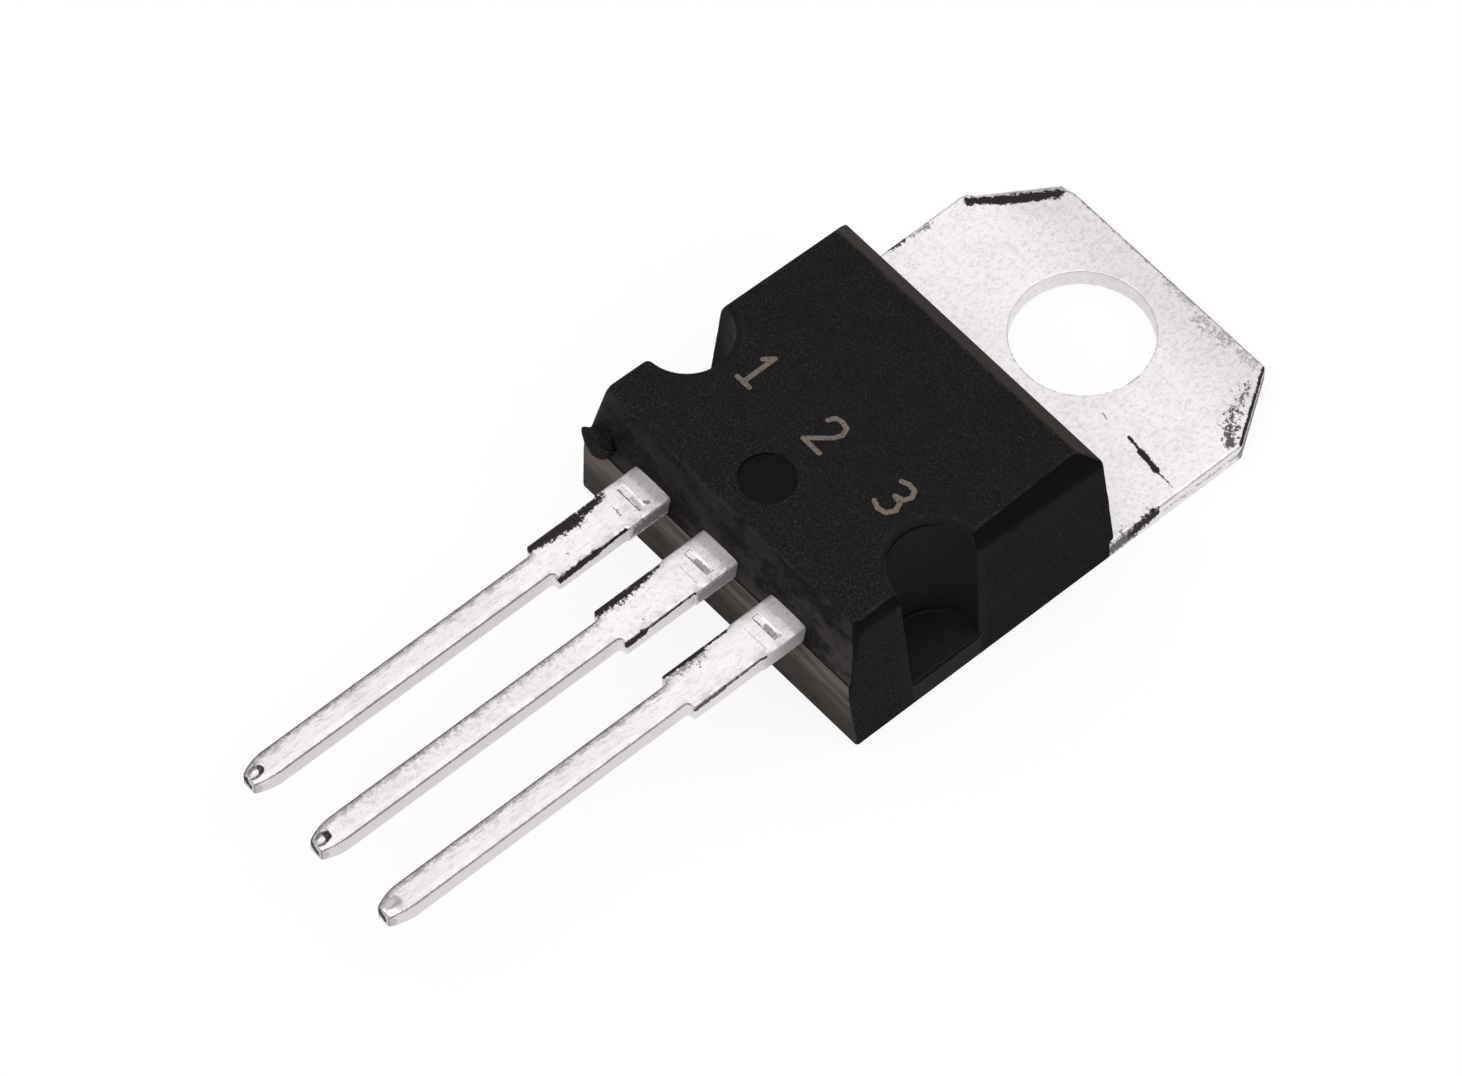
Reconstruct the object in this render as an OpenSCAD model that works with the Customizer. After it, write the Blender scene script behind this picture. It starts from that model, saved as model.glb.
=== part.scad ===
// Three-lead voltage regulator with a bare mounting tab, lying on the back of the tab.
// The origin is on the axis of the screw hole, in the plane of the tab's back.
// X runs across the leads, +Y points to the free end of the tab, +Z points up from its back.

/* [Package] */
// Width of the tab and of the body's foot, which are flush
package_width = 10.4; // [10:0.05:10.6]
// Thickness of the metal strip that the tab and the leads are stamped from
strip_thickness = 0.6; // [0.5:0.05:0.7]

/* [Mounting tab] */
// Distance from the hole's centre to the free end of the tab
tab_reach = 2.8; // [2.65:0.05:2.95]
// Length of tab that stands clear of the body
tab_exposed = 6.4; // [6.2:0.05:6.6]
// Width of each cut-off corner at the free end
tab_corner_width = 1.4; // [1.2:0.05:1.6]
// Length of each cut-off corner at the free end
tab_corner_length = 2.1; // [1.8:0.05:2.4]
// Diameter of the screw hole
hole_diameter = 3.8; // [3.7:0.05:3.9]

/* [Moulded body] */
// Length of the body from its rear face at the tab to its parting edge at the leads
body_length = 8.85; // [8.6:0.05:9.2]
// Height of the body above the back of the tab
body_height = 4.6; // [4.4:0.05:4.8]
// Height of the upright land along the foot of each side
foot_land = 0.12; // [0.05:0.01:0.25]
// Slope of the side walls in degrees from upright
side_draft = 5.7; // [4:0.1:7]
// How far the rear wall leans in before its bevel starts
rear_lean = 0.2; // [0.1:0.02:0.3]
// Length of the bevel along the top rear edge
rear_bevel_length = 0.65; // [0.5:0.05:0.9]
// Height of the bevel along the top rear edge
rear_bevel_height = 0.7; // [0.5:0.05:0.9]
// Width of the top face at its rear edge
top_width = 8.9; // [8.6:0.05:9.1]
// Slope of the long side bevels in degrees from upright
side_bevel_slope = 27.8; // [20:0.2:35]
// Angle by which the side bevels run out towards the leads
side_bevel_runout = 1.5; // [0.5:0.1:2]
// How far the front wall draws in from the parting edge down to the foot
front_foot_lean = 0.15; // [0.05:0.01:0.25]
// How far the front wall draws in from the parting step up to the top
front_top_lean = 0.34; // [0.2:0.02:0.5]
// Width at the top of the bevels on the two upright front corners
corner_bevel = 0.26; // [0.1:0.02:0.4]
// Depth of the step where the two mould halves meet between the leads
parting_step = 0.05; // [0.02:0.01:0.1]
// Height of the sloping lip under the parting step
lip_height = 0.3; // [0.15:0.05:0.5]
// Depth of the sloping lip under the parting step
lip_depth = 0.06; // [0.02:0.01:0.12]

/* [Side notches] */
// Radius of each side notch at the top face
notch_radius = 1.25; // [1.1:0.05:1.35]
// Distance from the middle of the body to the axis of each notch
notch_offset = 4.68; // [4.5:0.02:4.8]
// Distance from the parting edge back to the axes of the notches
notch_setback = 3.18; // [3:0.02:3.4]
// Height of the notch floor above the back of the tab
notch_floor = 0.75; // [0.7:0.05:1]
// How much narrower the notch is at its floor
notch_taper = 0.06; // [0.02:0.01:0.12]
// Radius of the rounded rim of the notch
notch_rim = 0.22; // [0.1:0.02:0.3]

/* [Mould marks] */
// Diameter of the ejector pin mark in the top face
ejector_diameter = 1.5; // [1.2:0.05:1.8]
// Depth of the ejector pin mark
ejector_depth = 0.1; // [0.05:0.01:0.15]
// Distance from the parting edge back to the middle of the ejector mark
ejector_setback = 1.75; // [1.6:0.05:1.9]
// Width of the broken gate stub on the front wall
gate_width = 1.2; // [0.9:0.05:1.3]
// Height of the gate stub above the parting step
gate_height = 0.9; // [0.7:0.05:1.1]
// How far the gate stub stands out from the parting edge
gate_stub = 0.3; // [0.2:0.02:0.45]
// Distance from the middle of the body to the middle of the gate
gate_offset = 4.4; // [4.1:0.05:4.5]

/* [Leads] */
// Distance between the middles of two leads
lead_pitch = 2.54; // [2.5:0.01:2.58]
// Height of the underside of the leads above the back of the tab
lead_level = 2.5; // [2.4:0.02:2.7]
// Length of the leads from the parting edge to their tips
lead_length = 12.95; // [12:0.05:14]
// Length of the wide part of the leads
wide_length = 3.42; // [3.3:0.02:3.9]
// Width of the leads next to the body
wide_width = 1.25; // [1.14:0.01:1.4]
// Length of the stretch next to the body that is left where the tie bar was cut
stub_length = 1.2; // [1:0.05:1.4]
// How far the cut tie bar stands out on each side of a lead
stub_proud = 0.04; // [0.02:0.01:0.08]
// Width of the narrow part of the leads
narrow_width = 0.78; // [0.65:0.01:0.88]
// Radius in the corner of each shoulder
shoulder_radius = 0.12; // [0.05:0.01:0.18]
// Width taken off each side at the tip
tip_side = 0.17; // [0.1:0.01:0.22]
// Length of the tip's tapered end
tip_length = 0.4; // [0.3:0.02:0.6]
// Height taken off above and below at the tip
tip_face = 0.15; // [0.05:0.01:0.2]
// Length of the pressed mark across the top of each lead
mark_length = 0.3; // [0.2:0.02:0.4]
// Distance from the body's parting edge to the pressed mark
mark_setback = 0.42; // [0.35:0.02:0.6]
// Depth of the pressed mark
mark_depth = 0.04; // [0.02:0.01:0.08]

/* [Inside the body] */
// Width of the metal pad under the body
pad_width = 7.6; // [7:0.1:8]
// Distance from the parting edge back to the front edge of the pad
pad_setback = 2.35; // [2.2:0.05:2.6]
// How far the body laps over the full width of the tab
tab_lap = 0.2; // [0.1:0.02:0.3]
// Radius of the bites in the pad round the side notches
pad_bite_radius = 1.7; // [1.6:0.05:1.9]
// Length of the sloping riser between the pad and the middle lead
riser_run = 1.3; // [1.1:0.05:1.4]
// Width of the bond posts of the outer leads
post_width = 1.9; // [1.6:0.05:2]
// Length of the bond posts of the outer leads
post_length = 1.1; // [0.9:0.05:1.2]
// Distance from the parting edge back to the front of the bond posts
post_setback = 0.75; // [0.6:0.05:0.9]
// Width of the silicon die
die_width = 2.6; // [2:0.1:3]
// Length of the silicon die
die_length = 2.3; // [1.8:0.1:2.6]
// Thickness of the silicon die
die_thickness = 0.28; // [0.2:0.02:0.4]
// Bare length of pad in front of the die, where the ground wire lands
die_ledge = 2.25; // [2:0.05:2.5]
// Thickness of the solder under the die
solder_thickness = 0.05; // [0.03:0.01:0.1]
// How far the solder spreads past the die
solder_spread = 0.12; // [0.05:0.01:0.25]
// Diameter of the bond wires
wire_diameter = 0.12; // [0.08:0.01:0.2]
// Diameter of the pressed ball under each bond wire
ball_diameter = 0.3; // [0.24:0.01:0.4]
// Height of the pressed ball under each bond wire
ball_height = 0.08; // [0.05:0.01:0.12]
// Distance of the wire pads from the edges of the die
bond_inset = 0.35; // [0.25:0.05:0.5]
// Distance from the pad's front edge back to the landing of the ground wire
ground_landing = 0.6; // [0.4:0.05:0.8]

/* [Hidden] */
$fn = 64;
// Spare length by which cutting solids reach past what they cut
past = 1;

// Planes that the pieces share, worked out from the sizes above
body_rear = tab_reach - tab_exposed;
parting_edge = body_rear - body_length;
top_rear = body_rear - rear_lean - rear_bevel_length;
rear_bevel_foot = body_height - rear_bevel_height;
step_edge = parting_edge + lip_depth + parting_step;
top_front = step_edge + front_top_lean;
lead_top = lead_level + strip_thickness;
lead_tip = parting_edge - lead_length;
shoulder = parting_edge - wide_length;
notch_axis = parting_edge + notch_setback;
pad_front = parting_edge + pad_setback;
post_front = parting_edge + post_setback;
post_rear = post_front + post_length;
die_front = pad_front + die_ledge;
solder_top = strip_thickness + solder_thickness;
die_top = solder_top + die_thickness;

// Extrudes a side view, drawn as [y, z], by a width centred on x = 0
module side_view(width) {
    rotate([90, 0, 90]) linear_extrude(height = width, center = true) children();
}

// Extrudes a front view, drawn as [x, z], from y = start towards the leads
module front_view(start, length) {
    translate([0, start, 0]) rotate([90, 0, 0]) linear_extrude(height = length) children();
}

// Side view of the body: leaning rear wall and bevel, flat top, and a front wall in two mould
// halves that meet in a small step at the underside of the leads
module body_side_outline() {
    polygon([
        [body_rear, 0],
        [body_rear, strip_thickness],
        [body_rear - rear_lean, rear_bevel_foot],
        [top_rear, body_height],
        [top_front, body_height],
        [step_edge, lead_level],
        [parting_edge + lip_depth, lead_level],
        [parting_edge, lead_level - lip_height],
        [parting_edge + front_foot_lean, 0]
    ]);
}

// Front view of the body without its bevels: upright feet and leaning sides
module body_front_outline() {
    half = package_width / 2;
    lean = (body_height - foot_land) * tan(side_draft);
    polygon([
        [-half, 0],
        [-half, foot_land],
        [lean - half, body_height],
        [half - lean, body_height],
        [half, foot_land],
        [half, 0]
    ]);
}

// Cuts the long bevel off one top edge: wide at the rear and running out towards the leads
module side_bevel_cut() {
    reach = body_length + 2 * past;
    translate([top_width / 2, top_rear, body_height])
        rotate([0, 0, side_bevel_runout])
        rotate([0, -side_bevel_slope, 0])
        translate([0, -reach, -body_height])
        cube([body_height, reach + 2 * past, 2 * body_height]);
}

// Turned shape of a side notch: tapered wall with a rounded rim at the top face
module notch_cut() {
    depth = body_height - notch_floor;
    translate([notch_offset, notch_axis, 0]) {
        difference() {
            union() {
                translate([0, 0, notch_floor])
                    cylinder(h = depth, r1 = notch_radius - notch_taper, r2 = notch_radius);
                translate([0, 0, body_height - notch_rim])
                    cylinder(h = notch_rim + past, r = notch_radius + notch_rim);
            }
            translate([0, 0, body_height - notch_rim])
                rotate_extrude()
                translate([notch_radius + notch_rim, 0])
                circle(r = notch_rim);
        }
    }
}

// Bevels each upright front corner: widest at the top and running out at the parting step
module corner_bevel_cut() {
    rise = body_height - lead_level;
    corner_x = package_width / 2 - (lead_level - foot_land) * tan(side_draft);
    draw_x = rise * tan(side_draft);
    diagonal = (draw_x + front_top_lean + corner_bevel) / sqrt(2);
    translate([corner_x, step_edge, lead_level])
        rotate([0, 0, -45])
        rotate([0, -atan2(diagonal, rise), 0])
        translate([0, -past, 0])
        cube([2 * past, 2 * past, 2 * rise]);
}

// Broken stub where the compound was let into the mould: an uneven lump on the parting step
module gate_stub_solid() {
    w = gate_width;
    h = gate_height;
    intersection() {
        translate([-gate_offset, 0, lead_level])
            front_view(parting_edge + past, past + gate_stub)
            polygon([
                [-0.5 * w, -0.1 * h], [-0.5 * w, 0.62 * h], [-0.3 * w, 0.9 * h], [-0.02 * w, h],
                [0.3 * w, 0.78 * h], [0.5 * w, 0.36 * h], [0.4 * w, -0.06 * h], [0.1 * w, -0.14 * h]
            ]);
        translate([-gate_offset, parting_edge, lead_level]) rotate([0, 0, -14]) side_view(2 * w) polygon([
            [past, -0.2 * h], [-0.5 * gate_stub, -0.16 * h], [-gate_stub, 0.26 * h],
            [-0.8 * gate_stub, 0.6 * h], [0, 0.94 * h], [past, 1.4 * h]
        ]);
    }
}

// Compound round everything that it holds, with the pad's back left bare underneath
module moulded_body() {
    color([0.13, 0.125, 0.13])
    difference() {
        union() {
            intersection() {
                side_view(package_width + 2 * past) body_side_outline();
                front_view(body_rear + past, body_length + 2 * past) body_front_outline();
            }
            intersection() {
                gate_stub_solid();
                front_view(body_rear + past, body_length + 3 * past) body_front_outline();
            }
        }
        for (side = [0, 1]) mirror([side, 0, 0]) {
            side_bevel_cut();
            corner_bevel_cut();
            notch_cut();
        }
        translate([0, parting_edge + ejector_setback, body_height - ejector_depth])
            cylinder(h = ejector_depth + past, r = ejector_diameter / 2);
        strip_with_riser();
        for (side = [-1, 1]) outer_lead(side);
        die_block();
        solder_block();
        for (side = [-1, 1]) lead_wire(side);
        pad_wire();
    }
}

// Plan of the tab and of the pad that carries the die
module strip_outline() {
    half = package_width / 2;
    full_width_end = body_rear - tab_lap;
    difference() {
        polygon([
            [-half, full_width_end],
            [-half, tab_reach - tab_corner_length],
            [tab_corner_width - half, tab_reach],
            [half - tab_corner_width, tab_reach],
            [half, tab_reach - tab_corner_length],
            [half, full_width_end],
            [pad_width / 2, full_width_end],
            [pad_width / 2, pad_front],
            [-pad_width / 2, pad_front],
            [-pad_width / 2, full_width_end]
        ]);
        circle(r = hole_diameter / 2);
        for (side = [-1, 1])
            translate([side * notch_offset, notch_axis]) circle(r = pad_bite_radius);
    }
}

// Plan of a lead outside the body, with its cut tie bar, filleted shoulders and tapered tip
module lead_outline(inner_end) {
    wide = wide_width / 2;
    proud = wide + stub_proud;
    narrow = narrow_width / 2;
    stub_end = parting_edge - stub_length;
    polygon([
        [-proud, inner_end], [-proud, stub_end], [-wide, stub_end], [-wide, shoulder],
        [-narrow, shoulder], [-narrow, lead_tip + tip_length], [tip_side - narrow, lead_tip],
        [narrow - tip_side, lead_tip], [narrow, lead_tip + tip_length], [narrow, shoulder],
        [wide, shoulder], [wide, stub_end], [proud, stub_end], [proud, inner_end]
    ]);
    for (side = [0, 1]) mirror([side, 0]) difference() {
        translate([narrow - shoulder_radius, shoulder - shoulder_radius]) square(2 * shoulder_radius);
        translate([narrow + shoulder_radius, shoulder - shoulder_radius]) circle(r = shoulder_radius);
        translate([narrow + shoulder_radius, shoulder - past]) square([past, past + 2 * shoulder_radius]);
    }
}

// Side view of a straight lead, with the flat mark pressed across its top and its bevelled tip
module lead_side_outline(inner_end) {
    mark = parting_edge - mark_setback;
    polygon([
        [inner_end, lead_level], [lead_tip + tip_length, lead_level], [lead_tip, lead_level + tip_face],
        [lead_tip, lead_top - tip_face], [lead_tip + tip_length, lead_top],
        [mark - mark_length, lead_top], [mark - mark_length, lead_top - mark_depth],
        [mark, lead_top - mark_depth], [mark, lead_top], [inner_end, lead_top]
    ]);
}

// A straight lead from inner_end out to its tip
module straight_lead(inner_end) {
    intersection() {
        translate([0, 0, lead_level - past])
            linear_extrude(height = strip_thickness + 2 * past) lead_outline(inner_end);
        side_view(2 * lead_pitch) lead_side_outline(inner_end);
    }
}

// Sloping riser from the front edge of the pad up to the middle lead, one bent strip
module riser() {
    inner_end = pad_front - riser_run;
    angle = atan2(lead_level, riser_run);
    bend = strip_thickness * tan(angle / 2);
    side_view(wide_width + 2 * stub_proud) polygon([
        [pad_front + bend + past, 0], [pad_front, 0],
        [inner_end, lead_level], [inner_end - bend - stub_proud, lead_level],
        [inner_end - bend - stub_proud, lead_top], [inner_end + bend, lead_top],
        [pad_front + bend, strip_thickness], [pad_front + bend + past, strip_thickness]
    ]);
}

// Tab, pad, riser and middle lead: one stamped and bent piece
module strip_with_riser() {
    linear_extrude(height = strip_thickness) strip_outline();
    riser();
    straight_lead(pad_front - riser_run);
}

module tab_and_ground_lead() {
    color([0.8, 0.79, 0.79]) strip_with_riser();
}

// An outer lead with the broad post that its bond wire lands on
module outer_lead(side) {
    translate([side * lead_pitch, 0, 0]) {
        straight_lead(post_front);
        translate([-post_width / 2, post_front, lead_level])
            cube([post_width, post_length, strip_thickness]);
    }
}

module input_lead() {
    color([0.8, 0.79, 0.79]) outer_lead(-1);
}

module output_lead() {
    color([0.8, 0.79, 0.79]) outer_lead(1);
}

module die_block() {
    translate([-die_width / 2, die_front, solder_top]) cube([die_width, die_length, die_thickness]);
}

module silicon_die() {
    color([0.35, 0.37, 0.42]) die_block();
}

module solder_block() {
    grow = 2 * solder_spread;
    translate([-(die_width + grow) / 2, die_front - solder_spread, strip_thickness])
        cube([die_width + grow, die_length + grow, solder_thickness]);
}

module die_solder() {
    color([0.62, 0.62, 0.6]) solder_block();
}

// Wire that leaves its ball upright and comes down in one arc, from a point on the die's top
// to a landing that is span away and rise higher
module arched_wire(span, rise) {
    radius = (span * span + rise * rise) / (2 * span);
    height = radius + wire_diameter;
    cylinder(h = ball_height, r = ball_diameter / 2);
    intersection() {
        translate([radius, 0, 0]) rotate([90, 0, 0])
            rotate_extrude() translate([radius, 0]) circle(r = wire_diameter / 2, $fn = 24);
        union() {
            translate([-wire_diameter, -wire_diameter, 0])
                cube([radius + wire_diameter, 2 * wire_diameter, height]);
            translate([radius, -wire_diameter, rise])
                cube([radius + wire_diameter, 2 * wire_diameter, height - rise]);
        }
    }
}

// Wire from the die's front corner to the middle of an outer lead's post
module lead_wire(side) {
    start = [side * (die_width / 2 - bond_inset), die_front + bond_inset];
    finish = [side * lead_pitch, (post_front + post_rear) / 2];
    run = finish - start;
    translate([start[0], start[1], die_top])
        rotate([0, 0, atan2(run[1], run[0])])
        arched_wire(norm(run), lead_top - die_top);
}

// Wire from the middle of the die's front edge down to the pad
module pad_wire() {
    start_y = die_front + bond_inset;
    landing_y = pad_front + ground_landing;
    translate([0, landing_y, strip_thickness])
        rotate([0, 0, 90])
        arched_wire(start_y - landing_y, die_top - strip_thickness);
}

module input_bond_wire() {
    color([0.85, 0.7, 0.35]) lead_wire(-1);
}

module output_bond_wire() {
    color([0.85, 0.7, 0.35]) lead_wire(1);
}

module ground_bond_wire() {
    color([0.85, 0.7, 0.35]) pad_wire();
}

moulded_body();
tab_and_ground_lead();
input_lead();
output_lead();
silicon_die();
die_solder();
input_bond_wire();
output_bond_wire();
ground_bond_wire();
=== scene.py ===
"""Three-lead voltage regulator with a bare mounting tab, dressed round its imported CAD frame.

X runs across the leads, +Y points to the free end of the tab and +Z up from the tab's back.
The moulded body and the tinned strips are meshed from distance fields, so that every edge gets
the radius that moulding or stamping leaves on it.
"""
import math

import bpy
import numpy as np
from mathutils import Matrix, Vector


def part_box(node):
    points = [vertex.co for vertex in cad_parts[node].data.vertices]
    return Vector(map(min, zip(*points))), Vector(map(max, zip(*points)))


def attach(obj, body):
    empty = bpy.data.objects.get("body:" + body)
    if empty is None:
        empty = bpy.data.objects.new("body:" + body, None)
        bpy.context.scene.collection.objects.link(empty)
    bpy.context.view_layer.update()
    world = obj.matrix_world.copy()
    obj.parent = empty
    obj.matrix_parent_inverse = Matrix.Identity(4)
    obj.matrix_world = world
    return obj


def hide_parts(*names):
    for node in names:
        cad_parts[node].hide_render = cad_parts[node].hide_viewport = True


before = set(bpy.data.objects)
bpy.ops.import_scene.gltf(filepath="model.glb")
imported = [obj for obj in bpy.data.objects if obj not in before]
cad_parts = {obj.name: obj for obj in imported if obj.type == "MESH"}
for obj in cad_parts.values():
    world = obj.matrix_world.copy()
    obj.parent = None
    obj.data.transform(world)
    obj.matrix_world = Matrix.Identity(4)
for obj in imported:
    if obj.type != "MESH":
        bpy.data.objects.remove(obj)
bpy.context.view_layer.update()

bl_info = {
    "name": "Voltage regulator",
    "version": (1, 0, 0),
    "blender": (4, 5, 0),
    "location": "View3D > Sidebar > Regulator",
    "description": "Builds a three-lead voltage regulator on its CAD frame, with its stage",
    "category": "Object",
}

MM = 0.001
PHOTO_WIDTH = 1462
BODY = "root"
WEAR = "edge_wear"
# Share of an edge's radius at which the edge counts as fully worn
WORN_SHARE = 0.4

# Places that the pieces share, read from the frame
BODY_LOW, BODY_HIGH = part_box("moulded_body")
LEAD_LOW, LEAD_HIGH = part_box("output_lead")
HALF_WIDTH = BODY_HIGH.x
BODY_HEIGHT = BODY_HIGH.z
BODY_REAR = BODY_HIGH.y
TAB_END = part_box("tab_and_ground_lead")[1].y
LEAD_LEVEL = LEAD_LOW.z
LEAD_TOP = LEAD_HIGH.z
LEAD_TIP = LEAD_LOW.y
POST_REAR = LEAD_HIGH.y
PITCH = (LEAD_LOW.x + LEAD_HIGH.x) / 2
HALF_POST = (LEAD_HIGH.x - LEAD_LOW.x) / 2
THICKNESS = LEAD_TOP - LEAD_LEVEL

# Small forms of the housing
PARTING_SHARPNESS = 0.2
HALVES_LAP = 0.5 * MM
FOOT_EDGE = 0.02 * MM
NOTCH_FLOOR_EDGE = 0.12 * MM
# A notch's rim is rounder at its inner side and narrows down the wall
NOTCH_RIM_SHARE = 0.85
NOTCH_RIM_GAIN = 0.6
NOTCH_RIM_REACH = 2.2
NOTCH_RIM_POWER = 1.5
PIN_FLOOR_EDGE = 0.03 * MM
PIN_RIM = 0.035 * MM
GATE_HALF_SIZES = (0.72 * MM, 0.36 * MM, 0.56 * MM)
GATE_RISE = 0.40 * MM
GATE_INSET = 0.05 * MM
GATE_CLEARANCE = 0.01 * MM
GATE_FILLET = 0.02 * MM
# The gate's break: how many faces, how far they stand from its middle, their soft edges
GATE_FACES = 26
GATE_STAND = (0.62, 0.98)
GATE_FACE_EDGE = 0.06
GATE_SEED = 11
FIGURE_FOOT = 0.02 * MM

# Small forms of the stamped strips
TAB_CORNER = 0.03 * MM
HOLE_EDGE = 0.035 * MM
HOLE_REACH = 0.5 * MM
HOLE_FADE = 0.3 * MM
ROLL_START_X = -3.3 * MM
ROLL_START_Y = 0.5 * MM
ROLL_FADE = 0.4 * MM
CROWN_POWER = 4
CROWN_LIMIT = 1.1
SHOULDER_CORNER = 0.04 * MM
STUB_CORNER = 0.015 * MM
TIP_CORNER = 0.15 * MM
TIP_END = 0.05 * MM
TIP_SLOPE_EDGE = 0.1 * MM
MARK_EDGE = 0.012 * MM
DIMPLE_SHIFT = 0.03 * MM
DIMPLE_NARROWING = 0.62
DIMPLE_RIM = 0.03 * MM
SHALLOW_DIMPLE_LIFT = 0.09 * MM
FAINT_MARK = 0.4

# Grid lines in millimetres as (start, stop, step) spans, finer where an edge is rounded.
# The housing's run back from its gate stub, the strips' from the lead tips.
HOUSING_ACROSS = ((-5.30, -3.30, 0.055), (-3.30, -0.90, 0.12), (-0.90, 0.90, 0.055),
                  (0.90, 3.30, 0.12), (3.30, 5.30, 0.055))
HOUSING_ALONG = ((-0.05, 0.25, 0.04), (0.25, 0.47, 0.022), (0.47, 0.89, 0.045),
                 (0.89, 1.27, 0.07), (1.27, 2.80, 0.055), (2.80, 4.95, 0.06),
                 (4.95, 8.05, 0.13), (8.05, 9.23, 0.05))
HOUSING_UP = ((-0.06, 0.90, 0.06), (0.90, 2.10, 0.12), (2.10, 2.44, 0.04), (2.44, 2.56, 0.02),
              (2.56, 2.68, 0.04), (2.68, 3.48, 0.07), (3.48, 3.76, 0.07), (3.76, 4.66, 0.045))
TAB_ACROSS = ((-5.26, -4.96, 0.035), (-4.96, -2.08, 0.12), (-2.08, -0.74, 0.08),
              (-0.74, 0.74, 0.037), (0.74, 2.08, 0.08), (2.08, 4.96, 0.12), (4.96, 5.26, 0.035))
LEAD_ALONG = ((-0.06, 0.56, 0.035), (0.56, 9.35, 0.09), (9.35, 13.10, 0.037))
TAB_ALONG = LEAD_ALONG + ((13.10, 21.50, 0.14), (21.50, 21.90, 0.06), (21.90, 23.30, 0.12),
                          (23.30, 28.26, 0.062))
TAB_UP = ((-0.05, 0.12, 0.034), (0.12, 0.42, 0.075), (0.42, 0.66, 0.03), (0.66, 2.44, 0.14),
          (2.44, 3.16, 0.036))
OUTER_ACROSS = ((-1.0, -0.74, 0.13), (-0.74, 0.74, 0.037), (0.74, 1.0, 0.13))
OUTER_ALONG = LEAD_ALONG + ((13.10, 14.90, 0.12),)
OUTER_UP = ((2.44, 3.16, 0.036),)
FIGURE_ACROSS = ((-0.44, 0.44, 0.022),)
FIGURE_ALONG = ((-0.12, 1.20, 0.022),)
FIGURE_UP = ((4.56, 4.61, 0.01),)


def length(name, description, millimetres):
    """A length property whose default is given in millimetres."""
    return bpy.props.FloatProperty(
        name=name, description=description, default=millimetres * MM, min=0.0, precision=5,
        subtype="DISTANCE", unit="LENGTH")


def angle(name, description, degrees):
    """An angle property whose default is given in degrees."""
    return bpy.props.FloatProperty(
        name=name, description=description, default=math.radians(degrees),
        subtype="ANGLE", unit="ROTATION")


def factor(name, description, value, top=1.0):
    """A plain number property."""
    return bpy.props.FloatProperty(
        name=name, description=description, default=value, min=0.0, max=top, subtype="FACTOR")


def colour(name, description, value):
    """A colour property in linear values."""
    return bpy.props.FloatVectorProperty(
        name=name, description=description, default=value, size=3, min=0.0, max=1.0,
        subtype="COLOR")


class HousingSizes(bpy.types.PropertyGroup):
    """Sizes of the moulded housing that its box in the frame doesn't give."""
    gate_stub: length("Gate stub", "How far the gate stub stands out from the parting edge", 0.3)
    foot_land: length("Foot land", "Height of the upright land along each foot", 0.12)
    side_draft: angle("Side draft", "Slope of the side walls from upright", 5.7)
    rear_lean: length("Rear lean", "How far the rear wall leans in below its bevel", 0.2)
    rear_bevel_length: length("Rear bevel length", "Length of the top rear bevel", 0.65)
    rear_bevel_height: length("Rear bevel height", "Height of the top rear bevel", 0.7)
    top_width: length("Top width", "Width of the top face at its rear edge", 8.9)
    side_bevel_slope: angle("Side bevel slope", "Slope of the side bevels from upright", 27.8)
    side_bevel_runout: angle("Side bevel run-out", "Angle by which the bevels run out", 1.5)
    front_foot_lean: length("Front foot lean", "Draw of the front wall down to the foot", 0.15)
    front_top_lean: length("Front top lean", "Draw of the front wall up to the top", 0.34)
    corner_bevel: length("Corner bevel", "Width at the top of the front corner bevels", 0.26)
    parting_step: length("Parting step", "Depth of the step between the mould halves", 0.05)
    lip_height: length("Lip height", "Height of the lip under the parting step", 0.3)
    lip_depth: length("Lip depth", "Depth of the lip under the parting step", 0.06)
    notch_radius: length("Notch radius", "Radius of the side notches at the top", 1.25)
    notch_offset: length("Notch offset", "Distance of the notch axes from the middle", 4.68)
    notch_setback: length("Notch setback", "Distance of the notch axes from the parting edge", 3.18)
    notch_floor: length("Notch floor", "Height of the notch floors", 0.75)
    notch_taper: length("Notch taper", "How much narrower a notch is at its floor", 0.06)
    notch_rim: length("Notch rim", "Radius of the rounded rims of the notches", 0.22)
    ejector_diameter: length("Ejector mark", "Diameter of the ejector pin mark", 1.5)
    ejector_depth: length("Ejector depth", "Depth of the ejector pin mark", 0.1)
    ejector_setback: length("Ejector setback", "Ejector mark's distance from the parting edge", 1.75)
    gate_offset: length("Gate offset", "Distance of the gate from the middle", 4.42)
    top_edge: length("Top edge radius", "Radius along the edges of the top face", 0.09)
    wall_edge: length("Wall edge radius", "Radius along the edges between the walls", 0.07)
    print_relief: length("Print relief", "Height of the printed figures above the top", 0.01)
    figure_height: length("Figure height", "Height of the printed figures", 1.05)
    stroke: length("Stroke", "Width of the strokes of the figures", 0.14)
    figure_row: length("Figure row", "Distance of the figures from the parting edge", 3.2)


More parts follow.
